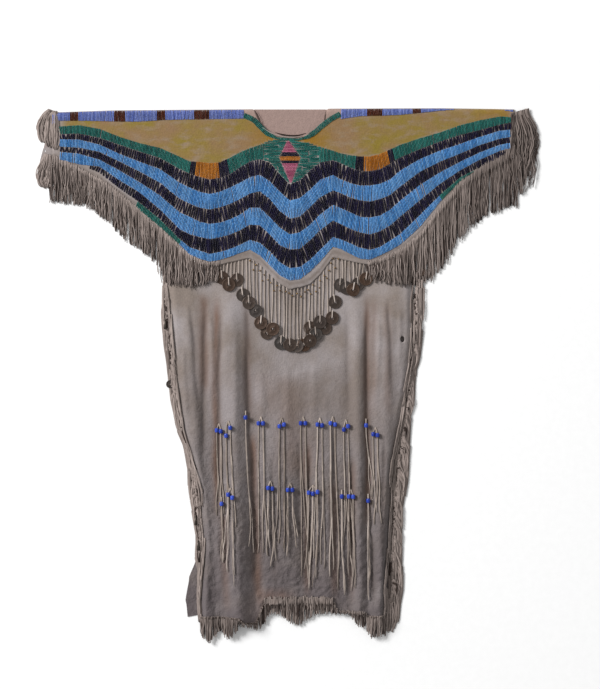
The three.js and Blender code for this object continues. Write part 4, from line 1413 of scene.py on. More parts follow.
@dataclass
class LaneBeads:
    """All the beadwork of the yoke, in pieces by lane.

    Attributes:
        finishes: The glass of each colour.
        rng: Source of the rows' unevenness.
    """

    finishes: dict[Colour, Material]
    rng: np.random.Generator = field(default_factory=lambda: np.random.default_rng(11))

    # The centre's lozenge: top, right, foot and left corners
    LOZENGE = ((-5, 72), (25, 115), (2, 179), (-25, 115))
    BANDS = ((0, 103.5, Colour.ROSE), (103.5, 111.5, Colour.NAVY), (111.5, 122.0, Colour.OCHRE),
             (122.0, 130.5, Colour.NAVY), (130.5, 400, Colour.ROSE))
    BLOCKS = ((-240, -226, Colour.NAVY), (-226, -168, Colour.OCHRE), (-168, -149, Colour.NAVY),
              (158, 176, Colour.NAVY), (176, 235, Colour.OCHRE), (235, 250, Colour.NAVY))
    BROWN = ((-526, -506), (-422, -396), (-319, -298), (-228, -192), (185, 223), (293, 314),
             (398, 425), (487, 516))
    # Where the thread shows across the green strings: from u, v, to u, v
    BREAKS = (
        (-62, 108, -56, 106), (-62, 117, -52, 118), (-28, 90, -27, 85), (45, 99, 45, 111),
        (45, 117, 45, 126), (62, 110, 67, 113), (-30, 136, -28, 146), (29, 138, 28, 146),
    )
    FIELD = (-63.0, 69.5)

    def green_colour(self, u: float) -> Colour:
        """The colour of the green lane at a place, which holds the ochre blocks."""
        for start, end, colour in self.BLOCKS:
            if start <= u < end:
                return colour
        return Colour.GREEN

    def strip_colour(self, u: float) -> Colour:
        """The colour of the shoulder strip at a place."""
        blocked = any(start <= u < end for start, end in self.BROWN)
        return Colour.BROWN if blocked else Colour.LILAC

    def lozenge_edges(self, v: float, room: float = 0.0) -> tuple[float, float] | None:
        """The lozenge's left and right edge at a height, or None beside it.

        Args:
            v: The height.
            room: How much wider it is taken.

        Returns:
            The two edges.
        """
        top, right, foot, left = self.LOZENGE
        if not top[1] - room < v < foot[1] + room:
            return None
        one = float(np.interp(v, [top[1], left[1], foot[1]], [top[0], left[0], foot[0]]))
        other = float(np.interp(v, [top[1], right[1], foot[1]], [top[0], right[0], foot[0]]))
        return one - room, other + room

    def lozenge(self) -> list[BeadRow]:
        """The lozenge's strings, which lie across."""
        rows = []
        for v in np.arange(74.5, 178, 3.3):
            edges = self.lozenge_edges(float(v))
            colour = next(c for low, high, c in self.BANDS if low <= v < high)
            if edges and edges[1] - edges[0] > 3.5:
                rows.append(BeadRow((edges[0], v), (edges[1], v), colour, 0.4))
        return rows

    def broken(self, u: float, v: float) -> bool:
        """Whether the thread shows at a place."""
        for u0, v0, u1, v1 in self.BREAKS:
            run = np.array([u1 - u0, v1 - v0], float)
            t = float(np.clip(np.dot([u - u0, v - v0], run) / np.dot(run, run), 0, 1))
            if math.hypot(u - u0 - t * run[0], v - v0 - t * run[1]) < 0.8:
                return True
        return False

    def field(self) -> list[BeadRow]:
        """The green strings round the lozenge, which lie across as its own do."""
        rows = []
        start, end = self.FIELD
        us = np.arange(start, end, 0.9)
        high, low = along(LANES, 1)(us), along(LANES, 2)(us)
        for v in np.arange(70.5, 178, 3.2):
            tilt = 0.05 * self.rng.normal()
            run: list[float] = []
            for u, top, foot in zip(us, high, low):
                edges = self.lozenge_edges(float(v), 1.4)
                beside = not (edges and edges[0] < u < edges[1])
                if top + 0.6 <= v <= foot - 0.8 and beside and not self.broken(float(u), float(v)):
                    run.append(float(u))
                    continue
                if len(run) > 3:
                    rows.append(self.across(run, float(v), tilt))
                run = []
            if len(run) > 3:
                rows.append(self.across(run, float(v), tilt))
        return rows

    def across(self, run: list[float], v: float, tilt: float) -> BeadRow:
        """A green string that lies across.

        Args:
            run: The places along it, as u.
            v: Its height.
            tilt: How much it slants.

        Returns:
            The string.
        """
        drop = tilt * (run[-1] - run[0]) / 2
        drop = max(min(drop, 1.2), -1.2)
        return BeadRow((run[0], v - drop), (run[-1], v + drop), Colour.GREEN, 0.4)

    def around_lozenge(self, rows: list[BeadRow]) -> list[BeadRow]:
        """Cuts strings short where the lozenge takes their place, or the thread shows.

        Args:
            rows: Strings that run down.

        Returns:
            What is left of them.
        """
        kept = []
        for row in rows:
            start, end = np.array(row.start), np.array(row.end)
            count = max(2, int(np.linalg.norm(end - start) / 2.6))
            spots = [start + (end - start) * k / count for k in range(count + 1)]
            runs, current = [], []
            for spot in spots:
                edges = self.lozenge_edges(float(spot[1]), 1.6)
                within = edges and edges[0] < spot[0] < edges[1]
                if within or self.broken(float(spot[0]), float(spot[1])):
                    runs.append(current)
                    current = []
                else:
                    current.append(spot)
            runs.append(current)
            for run in runs:
                if len(run) > 2:
                    kept.append(BeadRow(tuple(run[0]), tuple(run[-1]), row.colour, 0.5))
        return kept

    def neck_band(self) -> list[BeadRow]:
        """The strings of the band that follows the neck."""
        corners = np.array(NECK_BAND, float)
        lengths = np.concatenate([[0], np.cumsum(np.linalg.norm(np.diff(corners, axis=0), axis=1))])
        rows = []
        for s in np.arange(1.0, lengths[-1], 3.4):
            here = np.array([np.interp(s, lengths, corners[:, k]) for k in (0, 1)])
            next_one = np.array([np.interp(s + 4, lengths, corners[:, k]) for k in (0, 1)])
            run = next_one - here
            run = run / max(float(np.linalg.norm(run)), 1e-6)
            side = np.array([-run[1], run[0]])
            # Over the field the band is only a narrow edge
            reach = float(np.interp(here[0], (-50, -30, 30, 52), (6.2, 2.6, 2.6, 6.2)))
            start, end = here - side * reach, here + side * reach
            rows.append(BeadRow(tuple(start), tuple(end), Colour.GREEN, 0.5))
        return rows

    def lanes(self) -> dict[str, list[BeadRow]]:
        """The strings of each piece of beadwork."""
        def curve(k: int) -> Curve:
            """The top of lane k."""
            return along(LANES, k)

        def upper(u: Array) -> Array:
            """The top of the shoulder strip."""
            return shoulder(u) + 1.0

        made: dict[str, list[BeadRow]] = {}
        green = Lane(curve(1), curve(2), -551, 529, self.green_colour, gaps=lambda u: 0.03)
        centre = [r for r in green.rows(self.rng) if not BAND_LEFT < r.start[0] < BAND_RIGHT]
        clear = Lane(
            lambda u: np.maximum(along(LANES, 1)(u), np.interp(
                u, [p[0] for p in NECK_BAND], [p[1] + 8.0 for p in NECK_BAND]
            )),
            curve(2), BAND_LEFT, BAND_RIGHT, lambda u: Colour.GREEN, gaps=lambda u: 0.03,
        )
        beside = [
            r for r in clear.rows(self.rng) if not self.FIELD[0] < r.start[0] < self.FIELD[1]
        ]
        made["beads_green"] = centre + self.around_lozenge(beside)
        made["beads_green"] += self.field() + self.neck_band()
        for k, name, start, end, firm in (
            (2, "navy_1", -551, 529, -500.0), (4, "navy_2", -549, 529, -500.0),
            (6, "navy_3", -478, 517, -416.0),
        ):
            made[f"beads_{name}"] = Lane(
                curve(k), curve(k + 1), start, end, lambda u: Colour.NAVY,
                pitch=4.05, wide=4.2, sway=0.09, patchy=0.9,
                gaps=lambda u: float(np.interp(u, (-300, -90, 60, 200), (0.6, 0.22, 0.16, 0.3))),
                loose=(start, firm),
            ).rows(self.rng)
        for k, name, start, end in (
            (3, "sky_1", -550, 529), (5, "sky_2", -550, 529), (7, "sky_3", -262, 362),
        ):
            made[f"beads_{name}"] = Lane(
                curve(k), curve(k + 1), start, end, lambda u: Colour.SKY, gaps=lambda u: 0.04,
            ).rows(self.rng)
        edge_left = Lane(curve(7), curve(8), -366, -262, lambda u: Colour.GREEN)
        edge_right = Lane(curve(7), curve(8), 362, 452, lambda u: Colour.GREEN)
        made["beads_edge_green"] = edge_left.rows(self.rng) + edge_right.rows(self.rng)
        left = Lane(upper, strip_edge, -568, -112, self.strip_colour, lean=0.0)
        right = Lane(upper, strip_edge, 124, 536, self.strip_colour, lean=0.0)
        made["beads_shoulder"] = left.rows(self.rng) + right.rows(self.rng)
        made["beads_lozenge"] = self.lozenge()
        return made

    def build(self) -> list[Piece]:
        """Strings and sews every lane.

        Returns:
            The pieces.
        """
        work = Beadwork(self.rng)
        pieces = []
        for name, rows in self.lanes().items():
            colours = sorted({row.colour for row in rows}, key=lambda c: c.value)
            for colour in colours:
                points, faces, tone = work.mesh([r for r in rows if r.colour == colour])
                full = name if len(colours) == 1 else f"{name}_{colour.value}"
                pieces.append(add_piece(
                    full, points, faces, self.finishes[colour],
                    traits={"tone": tone},
                ))
        return pieces


@dataclass(frozen=True)
class Cut:
    """How a layer of strands is cut and lies.

    Attributes:
        wide: A strand's width.
        reach: How far it wanders sideways.
        twist: How far it turns about its length, in radians.
        shade: Its darkest and lightest tone.
        stack: How far it may lie above the ground, on others.
        over: Whether it starts on the yoke's face, in the hide's own tone.
        root: Its tone at the root where it is in the hide's own tone.
        level: Whether it stays at its root's height as part of the hide, and drops to the tip.
    """

    wide: float
    reach: float
    twist: float
    shade: tuple[float, float]
    stack: float
    over: bool = False
    root: float | None = None
    level: bool = False


@dataclass
class Fringe:
    """Cut fringe at the sleeves, cuffs, sides and hem.

    Attributes:
        ground: What it lies on.
        finish: The strands' material.
        rng: Source of their unevenness.
    """

    ground: Ground
    finish: Material
    rng: np.random.Generator = field(default_factory=lambda: np.random.default_rng(5))
    POINTS = 16
    # How much darker the right sleeve's end is painted, as painted shade
    RIGHT_END_SHADE = 0.68

    SLEEVE_TIPS = np.array([
        (-569, 226), (-492, 232), (-432, 275), (-384, 325), (-324, 366), (-300, 418), (-240, 430),
        (-180, 416), (192, 414), (293, 427), (336, 412), (365, 380), (396, 324), (432, 284),
        (475, 256), (538, 234),
    ], float)
    # Both ends' gathered bundles: even steps along the inner and the outer line, as u, v
    KNOT_INNER = ((-560, 3), (-557, 18), (-556, 36), (-556, 58), (-557, 80), (-558, 104))
    KNOT_OUTER = ((-577, 1), (-592, 12), (-603, 26), (-605, 46), (-605, 64), (-594, 78))
    LOBE_INNER = ((-573, 108), (-572, 130), (-572, 152), (-574, 172), (-576, 192))
    LOBE_OUTER = ((-586, 106), (-596, 126), (-604, 148), (-604, 170), (-594, 187))
    RIGHT_INNER = ((533, 8), (533, 36), (536, 70), (538, 104), (543, 138), (549, 172), (554, 204))
    RIGHT_OUTER = ((570, -3), (584, 28), (596, 60), (597, 92), (584, 124), (578, 156), (560, 204))
    # How near the side's disc its upper strands may come
    DISC_ROOM = 9.5
    # How far out the side fringe reaches: v, u
    LEFT_REACH = (
        (400, -306), (449, -311), (492, -312), (564, -305), (612, -298), (696, -293), (756, -278),
        (804, -256), (864, -248), (912, -252), (972, -240), (1020, -231), (1068, -232),
        (1104, -222), (1176, -222), (1226, -220),
    )
    RIGHT_REACH = (
        (400, 330), (480, 331), (576, 319), (606, 312), (622, 305), (708, 307), (744, 295),
        (888, 290), (960, 277), (1080, 276), (1152, 278), (1188, 271), (1224, 268), (1250, 256),
    )
    # Runs of the hem fringe: from u, to u, strands, how far up the hide they are cut, tips
    HEM_TIPS = (
        (-213, -124, 36, 4, (1266, 1282, 1252, 1274, 1246)),
        (-122, -62, 22, 3, (1238, 1241, 1246, 1249, 1238)),
        (-60, 102, 66, 17, (1222, 1207, 1216, 1232, 1240, 1226, 1212, 1211, 1211)),
        (102, 182, 26, 8, (1211, 1211, 1214, 1240, 1246)),
        (184, 230, 20, 4, (1254, 1268, 1262, 1266)),
    )

    def drift(self, count: int, reach: float) -> Array:
        """Smooth sideways wander of strands, (strands, points), none at the root."""
        t = np.linspace(0, 1, self.POINTS)
        bend = np.zeros((count, self.POINTS))
        for share, turns in ((0.9, 4.5), (0.45, 11.0), (0.32, 24.0)):
            phase = self.rng.uniform(0, 2 * math.pi, (count, 1))
            bend += self.rng.normal(0, reach * share, (count, 1)) * np.sin(phase + turns * t)
        return (bend - bend[:, :1]) * smooth(t * 1.6)

    def strands(self, root: Array, tip: Array, height: Array, cut: Cut) -> Body:
        """Makes strands from roots to tips.

        Args:
            root: (strands, 2) places.
            tip: (strands, 2) places.
            height: The roots' heights.
            cut: How they are cut and lie.

        Returns:
            The strands.
        """
        t = np.linspace(0, 1, self.POINTS)
        line = root[:, None, :] + (tip - root)[:, None, :] * t[None, :, None]
        return self.lay(line, height, cut)

    def lay(self, line: Array, height: Array, cut: Cut) -> Body:
        """Lays strands along given lines.

        Args:
            line: (strands, points, 2) places.
            height: The roots' heights.
            cut: How they are cut and lie.

        Returns:
            The strands.
        """
        count = len(line)
        t = np.linspace(0, 1, self.POINTS)
        line = line.copy()
        line[..., 0] += self.drift(count, cut.reach)
        stack = self.rng.uniform(0, cut.stack, count)
        paths = hang(self.ground, line, height, stack)
        u, v = line[..., 0], line[..., 1]
        if cut.level:
            held = np.reshape(height, (-1, 1)) * (1 - 0.5 * smooth(t)[None, :])
            paths[..., 2] = np.maximum(paths[..., 2], held)
        if cut.over:
            on_yoke = (v < rim(u) + 2.0) & (u > YOKE_LEFT) & (u < YOKE_RIGHT)
            face = yoke_low(u, v) + YOKE_THICK + 0.1
            paths[..., 2] = np.where(on_yoke, np.maximum(paths[..., 2], face), paths[..., 2])
        width = cut.wide * self.rng.uniform(0.7, 1.2, (count, 1)) * (1 - 0.4 * t[None, :] ** 3)
        turn = self.rng.normal(0, cut.twist, (count, 1)) * smooth(t * 2)[None, :]
        turn = turn + self.rng.normal(0, cut.twist * 0.7, (count, 1)) * np.sin(t * 5)[None, :]
        ribbons = Ribbons(paths, width, turn)
        points, faces = ribbons.mesh()
        base = self.rng.uniform(*cut.shade, (count, 1))
        wave = 0.18 * np.sin(self.rng.uniform(0, 6, (count, 1)) + 9 * t[None, :])
        tone = base + wave * (cut.shade[1] - cut.shade[0])
        if cut.root is not None:
            tone = mix(cut.root, tone, smooth(t * 4)[None, :])
        # Painted shade darkens the strands towards the right sleeve's end
        tone = tone * np.interp(u[:, :1], (350, 460), (1.0, self.RIGHT_END_SHADE))
        return points, faces, ribbons.tone(np.clip(tone, 0, 1))

    def join(self, name: str, node: str, layers: list[Body]) -> Piece:
        """Joins layers of strands to one piece.

        Args:
            name: The piece's name.
            node: The solid that it stands for.
            layers: The strands.

        Returns:
            The piece.
        """
        points, faces, tones = joined(layers)
        return add_piece(name, points, faces, self.finish, (node,), {"tone": tones})

    def locks(self, u: Array, spread: float, swing: float) -> Array:
        """Where strands' tips go when they cling together in locks.

        Args:
            u: The roots' places across.
            spread: About how wide a lock is.
            swing: How far locks swing to a side.

        Returns:
            The tips' places across.
        """
        which = np.floor(u / spread + 0.6 * ripple(u, u * 0, 20, 9, 30)).astype(int)
        which -= which.min()
        middles = np.array([
            u[which == k].mean() if np.any(which == k) else 0.0 for k in range(which.max() + 1)
        ])
        swings = self.rng.normal(0, swing, which.max() + 1)
        return mix(u, middles[which], 0.4) + swings[which]

    def build(self) -> list[Piece]:
        """Makes all the fringe.

        Returns:
            The pieces.
        """
        return [*self.sleeves(), self.left_cuff(), self.right_cuff(), *self.sides(), self.hems()]

    def sleeves(self) -> list[Piece]:
        """Fringe from the yoke's edge at both sleeves: a dark layer of painted shade, and lighter
        locks over it.
        """
        pieces = []
        for name, start, end, node in (
            ("fringe_sleeve_l", -572, -170, "fringe_sleeve_left"),
            ("fringe_sleeve_r", 186, 540, "fringe_sleeve_right"),
        ):
            layers = []
            for over, pitch, cut in (
                # The first layer is painted shade: dark strands that show between the lighter locks
                (False, 2.6, Cut(4.8, 1.4, 0.3, (0.0, 0.35), 0.6)),
                (True, 1.8, Cut(2.35, 2.6, 0.7, (0.14, 0.96), 4.0, True, 0.85, True)),
            ):
                count = int((end - start) / pitch)
                u = np.linspace(start, end, count) + self.rng.normal(0, 0.8, count)
                tips = np.interp(u, self.SLEEVE_TIPS[:, 0], self.SLEEVE_TIPS[:, 1])
                tips = tips - self.rng.uniform(0, 9, count) + 3.0 * ripple(u, u * 0, 16, 9, 31)
                across = self.locks(u, 11.0, 2.4) + self.rng.normal(0, 1.6, count)
                v = rim(u) - 3
                if over:
                    cover = np.interp(u, (-566, -170, 190, 300, 440, 520), (15, 10, 9, 13, 24, 34))
                    v = rim(u) - self.rng.uniform(0.5, 1, count) * cover
                else:
                    tips = tips - 4
                height = yoke_low(u, rim(u)) - 1.0
                root, tip = np.stack([u, v], 1), np.stack([across, np.maximum(tips, v + 30)], 1)
                layers.append(self.strands(root, tip, height, cut))
            pieces.append(self.join(name, node, layers))
        return pieces

    def between(self, inner: tuple, outer: tuple, share: Array, long: Array) -> Array:
        """Lines between two curved ones.

        Args:
            inner: Places (u, v) along the inner line, evenly spread.
            outer: The same for the outer.
            share: How far each strand lies from the inner line to the outer, 0 to 1.
            long: How much of the way down each one goes.

        Returns:
            (strands, points, 2) places.
        """
        t = np.linspace(0, 1, self.POINTS)[None, :] * np.reshape(long, (-1, 1))
        made = np.zeros((len(share), self.POINTS, 2))
        for line, weight in ((inner, 1 - share), (outer, share)):
            corners = np.array(line, float)
            at = np.linspace(0, 1, len(corners))
            for k in (0, 1):
                curve = np.polynomial.Polynomial.fit(at, corners[:, k], len(at) - 2)
                made[..., k] += curve(t) * weight[:, None]
        return made

    def left_cuff(self) -> Piece:
        """The left sleeve's gathered end: soft pleats from a knot, and a lobe of them below."""
        layers = []
        knot, lobe = (self.KNOT_INNER, self.KNOT_OUTER), (self.LOBE_INNER, self.LOBE_OUTER)
        for lines, count, cut, shares, reach in (
            # The thin dark strands of the knot and the lobe are painted shade in the slits between
            # the pleats
            (knot, 9, Cut(9.0, 0.4, 0.05, (0.7, 0.85), 0.2), (0.08, 0.9), (0.84, 1.0)),
            (knot, 24, Cut(4.6, 1.8, 0.35, (0.6, 1.0), 1.4, True), (0.0, 1.0), (0.7, 1.0)),
            (knot, 6, Cut(1.5, 1.8, 0.4, (0.0, 0.25), 3.2), (0.2, 0.95), (0.5, 0.9)),
            (lobe, 7, Cut(9.0, 0.6, 0.05, (0.6, 0.8), 0.2), (0.1, 0.88), (0.85, 0.95)),
            (lobe, 20, Cut(4.2, 2.2, 0.35, (0.5, 1.0), 1.6), (0.0, 1.0), (0.72, 1.0)),
            (lobe, 7, Cut(1.5, 1.8, 0.4, (0.0, 0.2), 3.2), (0.1, 0.95), (0.4, 0.8)),
        ):
            share = np.linspace(*shares, count) + self.rng.normal(0, 0.03, count)
            line = self.between(*lines, share, self.rng.uniform(*reach, count))
            layers.append(self.lay(line, np.full(count, 4.2), cut))
        return self.join("fringe_cuff_l", "fringe_cuff_left", layers)

    def right_cuff(self) -> Piece:
        """The right sleeve's bundle of fine strands, which bulges out from its knot."""
        layers = []
        for count, cut, shares, reach in (
            # The first layer is painted shade under the fine strands
            (10, Cut(7.0, 0.8, 0.15, (0.0, 0.15), 0.4), (0.04, 0.86), (0.7, 0.92)),
            (66, Cut(2.5, 5.6, 0.9, (0.15, 1.0), 6.5, True), (-0.06, 0.98), (0.7, 1.0)),
            (3, Cut(9.0, 0.4, 0.2, (0.7, 0.95), 7.0), (0.3, 0.9), (0.09, 0.13)),
        ):
            share = np.linspace(*shares, count) + self.rng.normal(0, 0.03, count)
            long = self.rng.uniform(*reach, count)
            line = self.between(self.RIGHT_INNER, self.RIGHT_OUTER, share, long)
            layers.append(self.lay(line, np.full(count, 4.2), cut))
        return self.join("fringe_cuff_r", "fringe_cuff_right", layers)

    def sides(self) -> list[Piece]:
        """Fringe down both side seams, which hangs close along them."""
        pieces = []
        for name, side, edge, reach, node in (
            ("fringe_side_l", -1, front_left, self.LEFT_REACH, "fringe_side_left"),
            ("fringe_side_r", 1, front_right, self.RIGHT_REACH, "fringe_side_right"),
        ):
            layers = []
            for count, cut, shares, longs, swift in (
                (84, Cut(8.5, 0.6, 0.1, (0.55, 0.8), 0.6), (0.1, 0.85), (110, 160), 9.0),
                (112, Cut(3.9, 0.9, 0.4, (0.55, 1.0), 3.2), (-0.2, 0.86), (64, 124), 1.7),
                # Painted shade: short dark strands where the openings between the strands show
                (18, Cut(6.4, 0.2, 0.1, (0.0, 0.05), 4.6), (0.1, 0.6), (26, 46), 9.0),
            ):
                v = np.linspace(392, 1180, count) + self.rng.normal(0, 3, count)
                low = v + self.rng.uniform(*longs, count)
                low = np.minimum(low, reach[-1][0] + self.rng.uniform(-14, 4, count))
                # Each hangs straight at its own share of the band from the seam outwards
                share = self.rng.uniform(*shares, count)
                root_share = np.where(v > 440, np.clip(share, -0.1, 0.3), np.abs(share))
                t = np.linspace(0, 1, self.POINTS)[None, :]
                down = mix(v[:, None], low[:, None], t)
                levels, reached = zip(*reach)
                band = np.interp(down, levels, reached) - side * 2.5
                hung = mix(root_share[:, None], share[:, None], smooth(t * swift))
                line = np.stack([mix(edge(down), band, hung), down], -1)
                if cut.stack > 1.0:
                    away = np.linalg.norm(line - np.array(SIDE_DISC), axis=-1).min(1)
                    line = line[away > self.DISC_ROOM]
                layers.append(self.lay(line, np.full(len(line), 4.4), cut))
            pieces.append(self.join(name, node, layers))
        return pieces

    def hems(self) -> Piece:
        """Fringe cut into the lower edge of the front hide."""
        layers = []
        for start, end, count, inset, lows in self.HEM_TIPS:
            for over, cut in (
                # The first layer is painted shade between the strands over it
                (False, Cut(4.8, 0.6, 0.15, (0.0, 0.25), 0.3, level=True)),
                (True, Cut(2.9, 1.0, 0.5, (0.3, 0.86), 1.2, root=0.6, level=True)),
            ):
                u = np.linspace(start, end, count) + self.rng.normal(0, 0.5, count)
                low = np.interp(u, np.linspace(start, end, len(lows)), lows)
                low = low - self.rng.uniform(0, 6, count) - (0 if over else 4)
                up = inset * self.rng.uniform(0.7, 1.2, count) if over else 3.0
                root = np.stack([u, hem(u) - up], 1)
                tip = np.stack([self.locks(u, 9.0, 1.2), low], 1)
                lifted = FRONT_THICK + (0.3 if over else -0.9)
                height = front_low(root[:, 0], root[:, 1]) + lifted
                layers.append(self.strands(root, tip, height, cut))
        return self.join("fringe_hem_front", "fringe_hem", layers)


@dataclass
class MiddleThongs:
    """The thongs under the middle of the yoke, which end at the coins.

    Attributes:
        ground: What they lie on.
        finish: The thongs' material.
        rng: Source of their unevenness.
    """

    ground: Ground
    finish: Material
    rng: np.random.Generator = field(default_factory=lambda: np.random.default_rng(8))
    POINTS = 14
    EASE = 24.0
    PITCH, WIDE = 8.8, 3.0
    # Small brass beads strung on the thongs just below the rim: u, v
    BRASS = (
        (-82, 372), (-72, 386), (-62, 396), (-53, 408), (-46, 415), (-31, 422), (-24, 434),
        (-10, 436), (-2, 440), (17, 441), (36, 437), (43, 432), (50, 442), (55, 420), (70, 427),
        (72, 410), (82, 398), (94, 386), (98, 368), (103, 357), (108, 379), (116, 358),
        (-96, 362), (-88, 384), (-66, 410), (-38, 434), (6, 446), (26, 448), (62, 436), (88, 404),
    )

    def build(self, coins: "Coins") -> Piece:
        """Cuts the thongs.

        Args:
            coins: The coins that they reach.

        Returns:
            The piece.
        """
        ends = np.array(sorted(coins.SPOTS), float)
        u = np.arange(-166, 184, self.PITCH)
        low = np.interp(u, ends[:, 0], ends[:, 1])
        t = np.linspace(0, 1, self.POINTS)
        root = np.stack([u, rim(u) - 3], 1)
        tip = np.stack([u + self.rng.normal(0, 1.5, len(u)), low + 2], 1)
        line = root[:, None, :] + (tip - root)[:, None, :] * t[None, :, None]
        line[..., 0] += self.rng.normal(0, 0.8, (len(u), 1)) * np.sin(t * 4)[None, :]
        height = yoke_low(u, rim(u)) - 0.4
        paths = hang(self.ground, line, height, self.rng.uniform(0, 0.3, len(u)), self.EASE)
        width = np.full((len(u), self.POINTS), self.WIDE)
        twist = self.rng.normal(0, 0.3, (len(u), 1)) * np.sin(t * 6)[None, :]
        ribbons = Ribbons(paths, width, twist, 0.8)
        points, faces = ribbons.mesh()
        tone = ribbons.tone(self.rng.uniform(0.3, 0.75, (len(u), 1)) * np.ones(self.POINTS))
        return add_piece(
            "thongs_middle", points, faces, self.finish, ("fringe_middle",),
            {"tone": tone},
        )

    def brass_beads(self, brass: Material) -> Piece:
        """Strings the small brass beads.

        Args:
            brass: Their material.

        Returns:
            The piece.
        """
        around, steps = 10, 6
        turn = np.linspace(0, 2 * math.pi, around + 1)[:-1]
        bodies = []
        for u, v in self.BRASS:
            foot = float(rim(u))
            on_yoke = float(yoke_low(np.array(u), np.array(v)) + YOKE_THICK)
            base = float(self.ground.at(np.array(u), np.array(v)))
            root = float(yoke_low(np.array(u), np.array(foot)))
            strung = base + max(root - base, 0.0) * math.exp(-max(v - foot, 0.0) / self.EASE) + 0.6
            height = on_yoke if v < foot + 1.5 else strung
            radius = 2.0 * self.rng.uniform(0.85, 1.1)
            rings = []
            for k in range(steps + 1):
                a = math.pi * k / steps - math.pi / 2
                girth = radius * (0.45 + 0.55 * math.cos(a))
                rings.append(np.stack([
                    u + girth * np.cos(turn), np.full(around, v + radius * 0.9 * math.sin(a)),
                    height + radius + girth * np.sin(turn),
                ], 1))
            tone = np.full((steps + 1) * around, 0.8)
            bodies.append((np.concatenate(rings), [ring_faces(steps + 1, around)], tone))
        points, faces, tones = joined(bodies)
        traits = {"tone": tones, "patina": tones}
        return add_piece("beads_brass", to_frame(points), faces, brass, (), traits)


@dataclass
class Coins:
    """Old brass coins with square holes, each lying on its thong.

    Attributes:
        finish: Their material.
        rng: Source of their tilt.
    """

    finish: Material
    rng: np.random.Generator = field(default_factory=lambda: np.random.default_rng(2))

    RADIUS, HOLE, THICK, RIM = 16.0, 3.2, 1.3, 1.6
    SIDES = 32
    SPOTS = (
        (-163, 403), (-146, 420), (-127, 408), (-113, 444), (-98, 463), (-82, 482), (-70, 511),
        (-55, 535), (-41, 526), (-22, 559), (0, 564), (17, 566), (34, 564), (48, 554), (48, 523),
        (62, 538), (72, 509), (84, 523), (101, 499), (108, 461), (120, 420), (134, 427),
        (151, 432), (163, 418), (182, 406),
    )

    def profile(self, radius: float, hole: float) -> tuple[Array, list[Array], Array]:
        """One coin, flat on zero, with raised borders round its rim and its hole.

        Args:
            radius: Its radius.
            hole: Half the hole's side.

        Returns:
            Corners, faces and how much each corner is rubbed.
        """
        turn = np.linspace(0, 2 * math.pi, self.SIDES + 1)[:-1]
        circle = np.stack([np.cos(turn), np.sin(turn)], 1)
        square = circle / np.abs(circle).max(1, keepdims=True)
        field_high = self.THICK * 0.86
        rings = (
            (square * hole, 0.0, 0.1), (circle * radius, 0.0, 0.2),
            (circle * radius, self.THICK * 0.8, 0.8), (circle * (radius - 0.5), self.THICK, 0.9),
            (circle * (radius - self.RIM), self.THICK, 0.7),
            (circle * (radius - self.RIM - 0.6), field_high, 0.4),
            (square * (hole + 1.5), field_high, 0.4), (square * (hole + 1.2), self.THICK, 0.6),
            (square * hole, self.THICK, 0.6),
        )
        points = np.concatenate([
            np.column_stack([ring, np.full(self.SIDES, high)]) for ring, high, _ in rings
        ])
        rubbed = np.concatenate([np.full(self.SIDES, worn) for _, _, worn in rings])
        return points, [ring_faces(len(rings), self.SIDES)], rubbed

    def height(self, name: str) -> float:
        """The underside of a coin's solid."""
        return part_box(name)[0].z / MM

    def build(self) -> Piece:
        """Places the coins where their solids are.

        Returns:
            The piece.
        """
        return self.gather("coins_brass", [
            (f"coin_{k + 1:02d}", u, v, self.RADIUS, self.HOLE)
            for k, (u, v) in enumerate(self.SPOTS)
        ], 0.05)

    def gather(self, name: str, items: list[tuple], tilt: float) -> Piece:
        """Joins some coins to one piece.

        Args:
            name: The piece's name.
            items: For each coin its solid, place, radius and half its hole.
            tilt: How far they lean, in radians.

        Returns:
            The piece.
        """
        bodies, films = [], []
        for node, u, v, radius, hole in items:
            corners, quads, rubbed = self.profile(radius, hole)
            turn = self.rng.uniform(0, math.pi / 2)
            lean_x, lean_y = self.rng.normal(0, tilt, 2)
            x = corners[:, 0] * math.cos(turn) - corners[:, 1] * math.sin(turn)
            y = corners[:, 0] * math.sin(turn) + corners[:, 1] * math.cos(turn)
            z = corners[:, 2] + lean_x * x + lean_y * y
            z = z - z.min() + self.height(node)
            placed = to_frame(np.stack([u + x, v + y, z], 1))
            bodies.append((placed, quads, rubbed * self.rng.uniform(0.3, 1.0)))
            films.append(np.full(len(corners), self.rng.uniform(0, 1)))
        points, faces, tones = joined(bodies)
        return add_piece(
            name, points, faces, self.finish, tuple(item[0] for item in items),
            {"tone": tones, "patina": np.concatenate(films)},
        )

    def ties(self, thong: Material) -> Piece:
        """The ends of the thongs, which come over each coin's upper edge to its hole.

        Args:
            thong: Their material.

        Returns:
            The piece.
        """
        t = np.linspace(0, 1, 6)
        count = len(self.SPOTS)
        lean = self.rng.normal(0, 2.0, count)
        high = np.array([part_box(f"coin_{k + 1:02d}")[1].z / MM for k in range(count)])
        spots = np.array(self.SPOTS, float)
        reach = self.RADIUS + 3.0
        line = np.zeros((count, len(t), 3))
        line[..., 0] = spots[:, :1] + lean[:, None] * (1 - t)[None, :]
        line[..., 1] = spots[:, 1:] - reach * (1 - t)[None, :] + 1.0
        line[..., 2] = high[:, None] + 0.35
        width = self.rng.uniform(2.4, 3.4, (count, 1)) * np.ones(len(t))
        ribbons = Ribbons(line, width, self.rng.normal(0, 0.3, (count, 1)) * np.ones(len(t)), 0.9)
        points, faces = ribbons.mesh()
        tone = ribbons.tone(self.rng.uniform(0.5, 1.0, (count, 1)) * np.ones(len(t)))
        return add_piece("ties_coins", points, faces, thong, (), {"tone": tone})


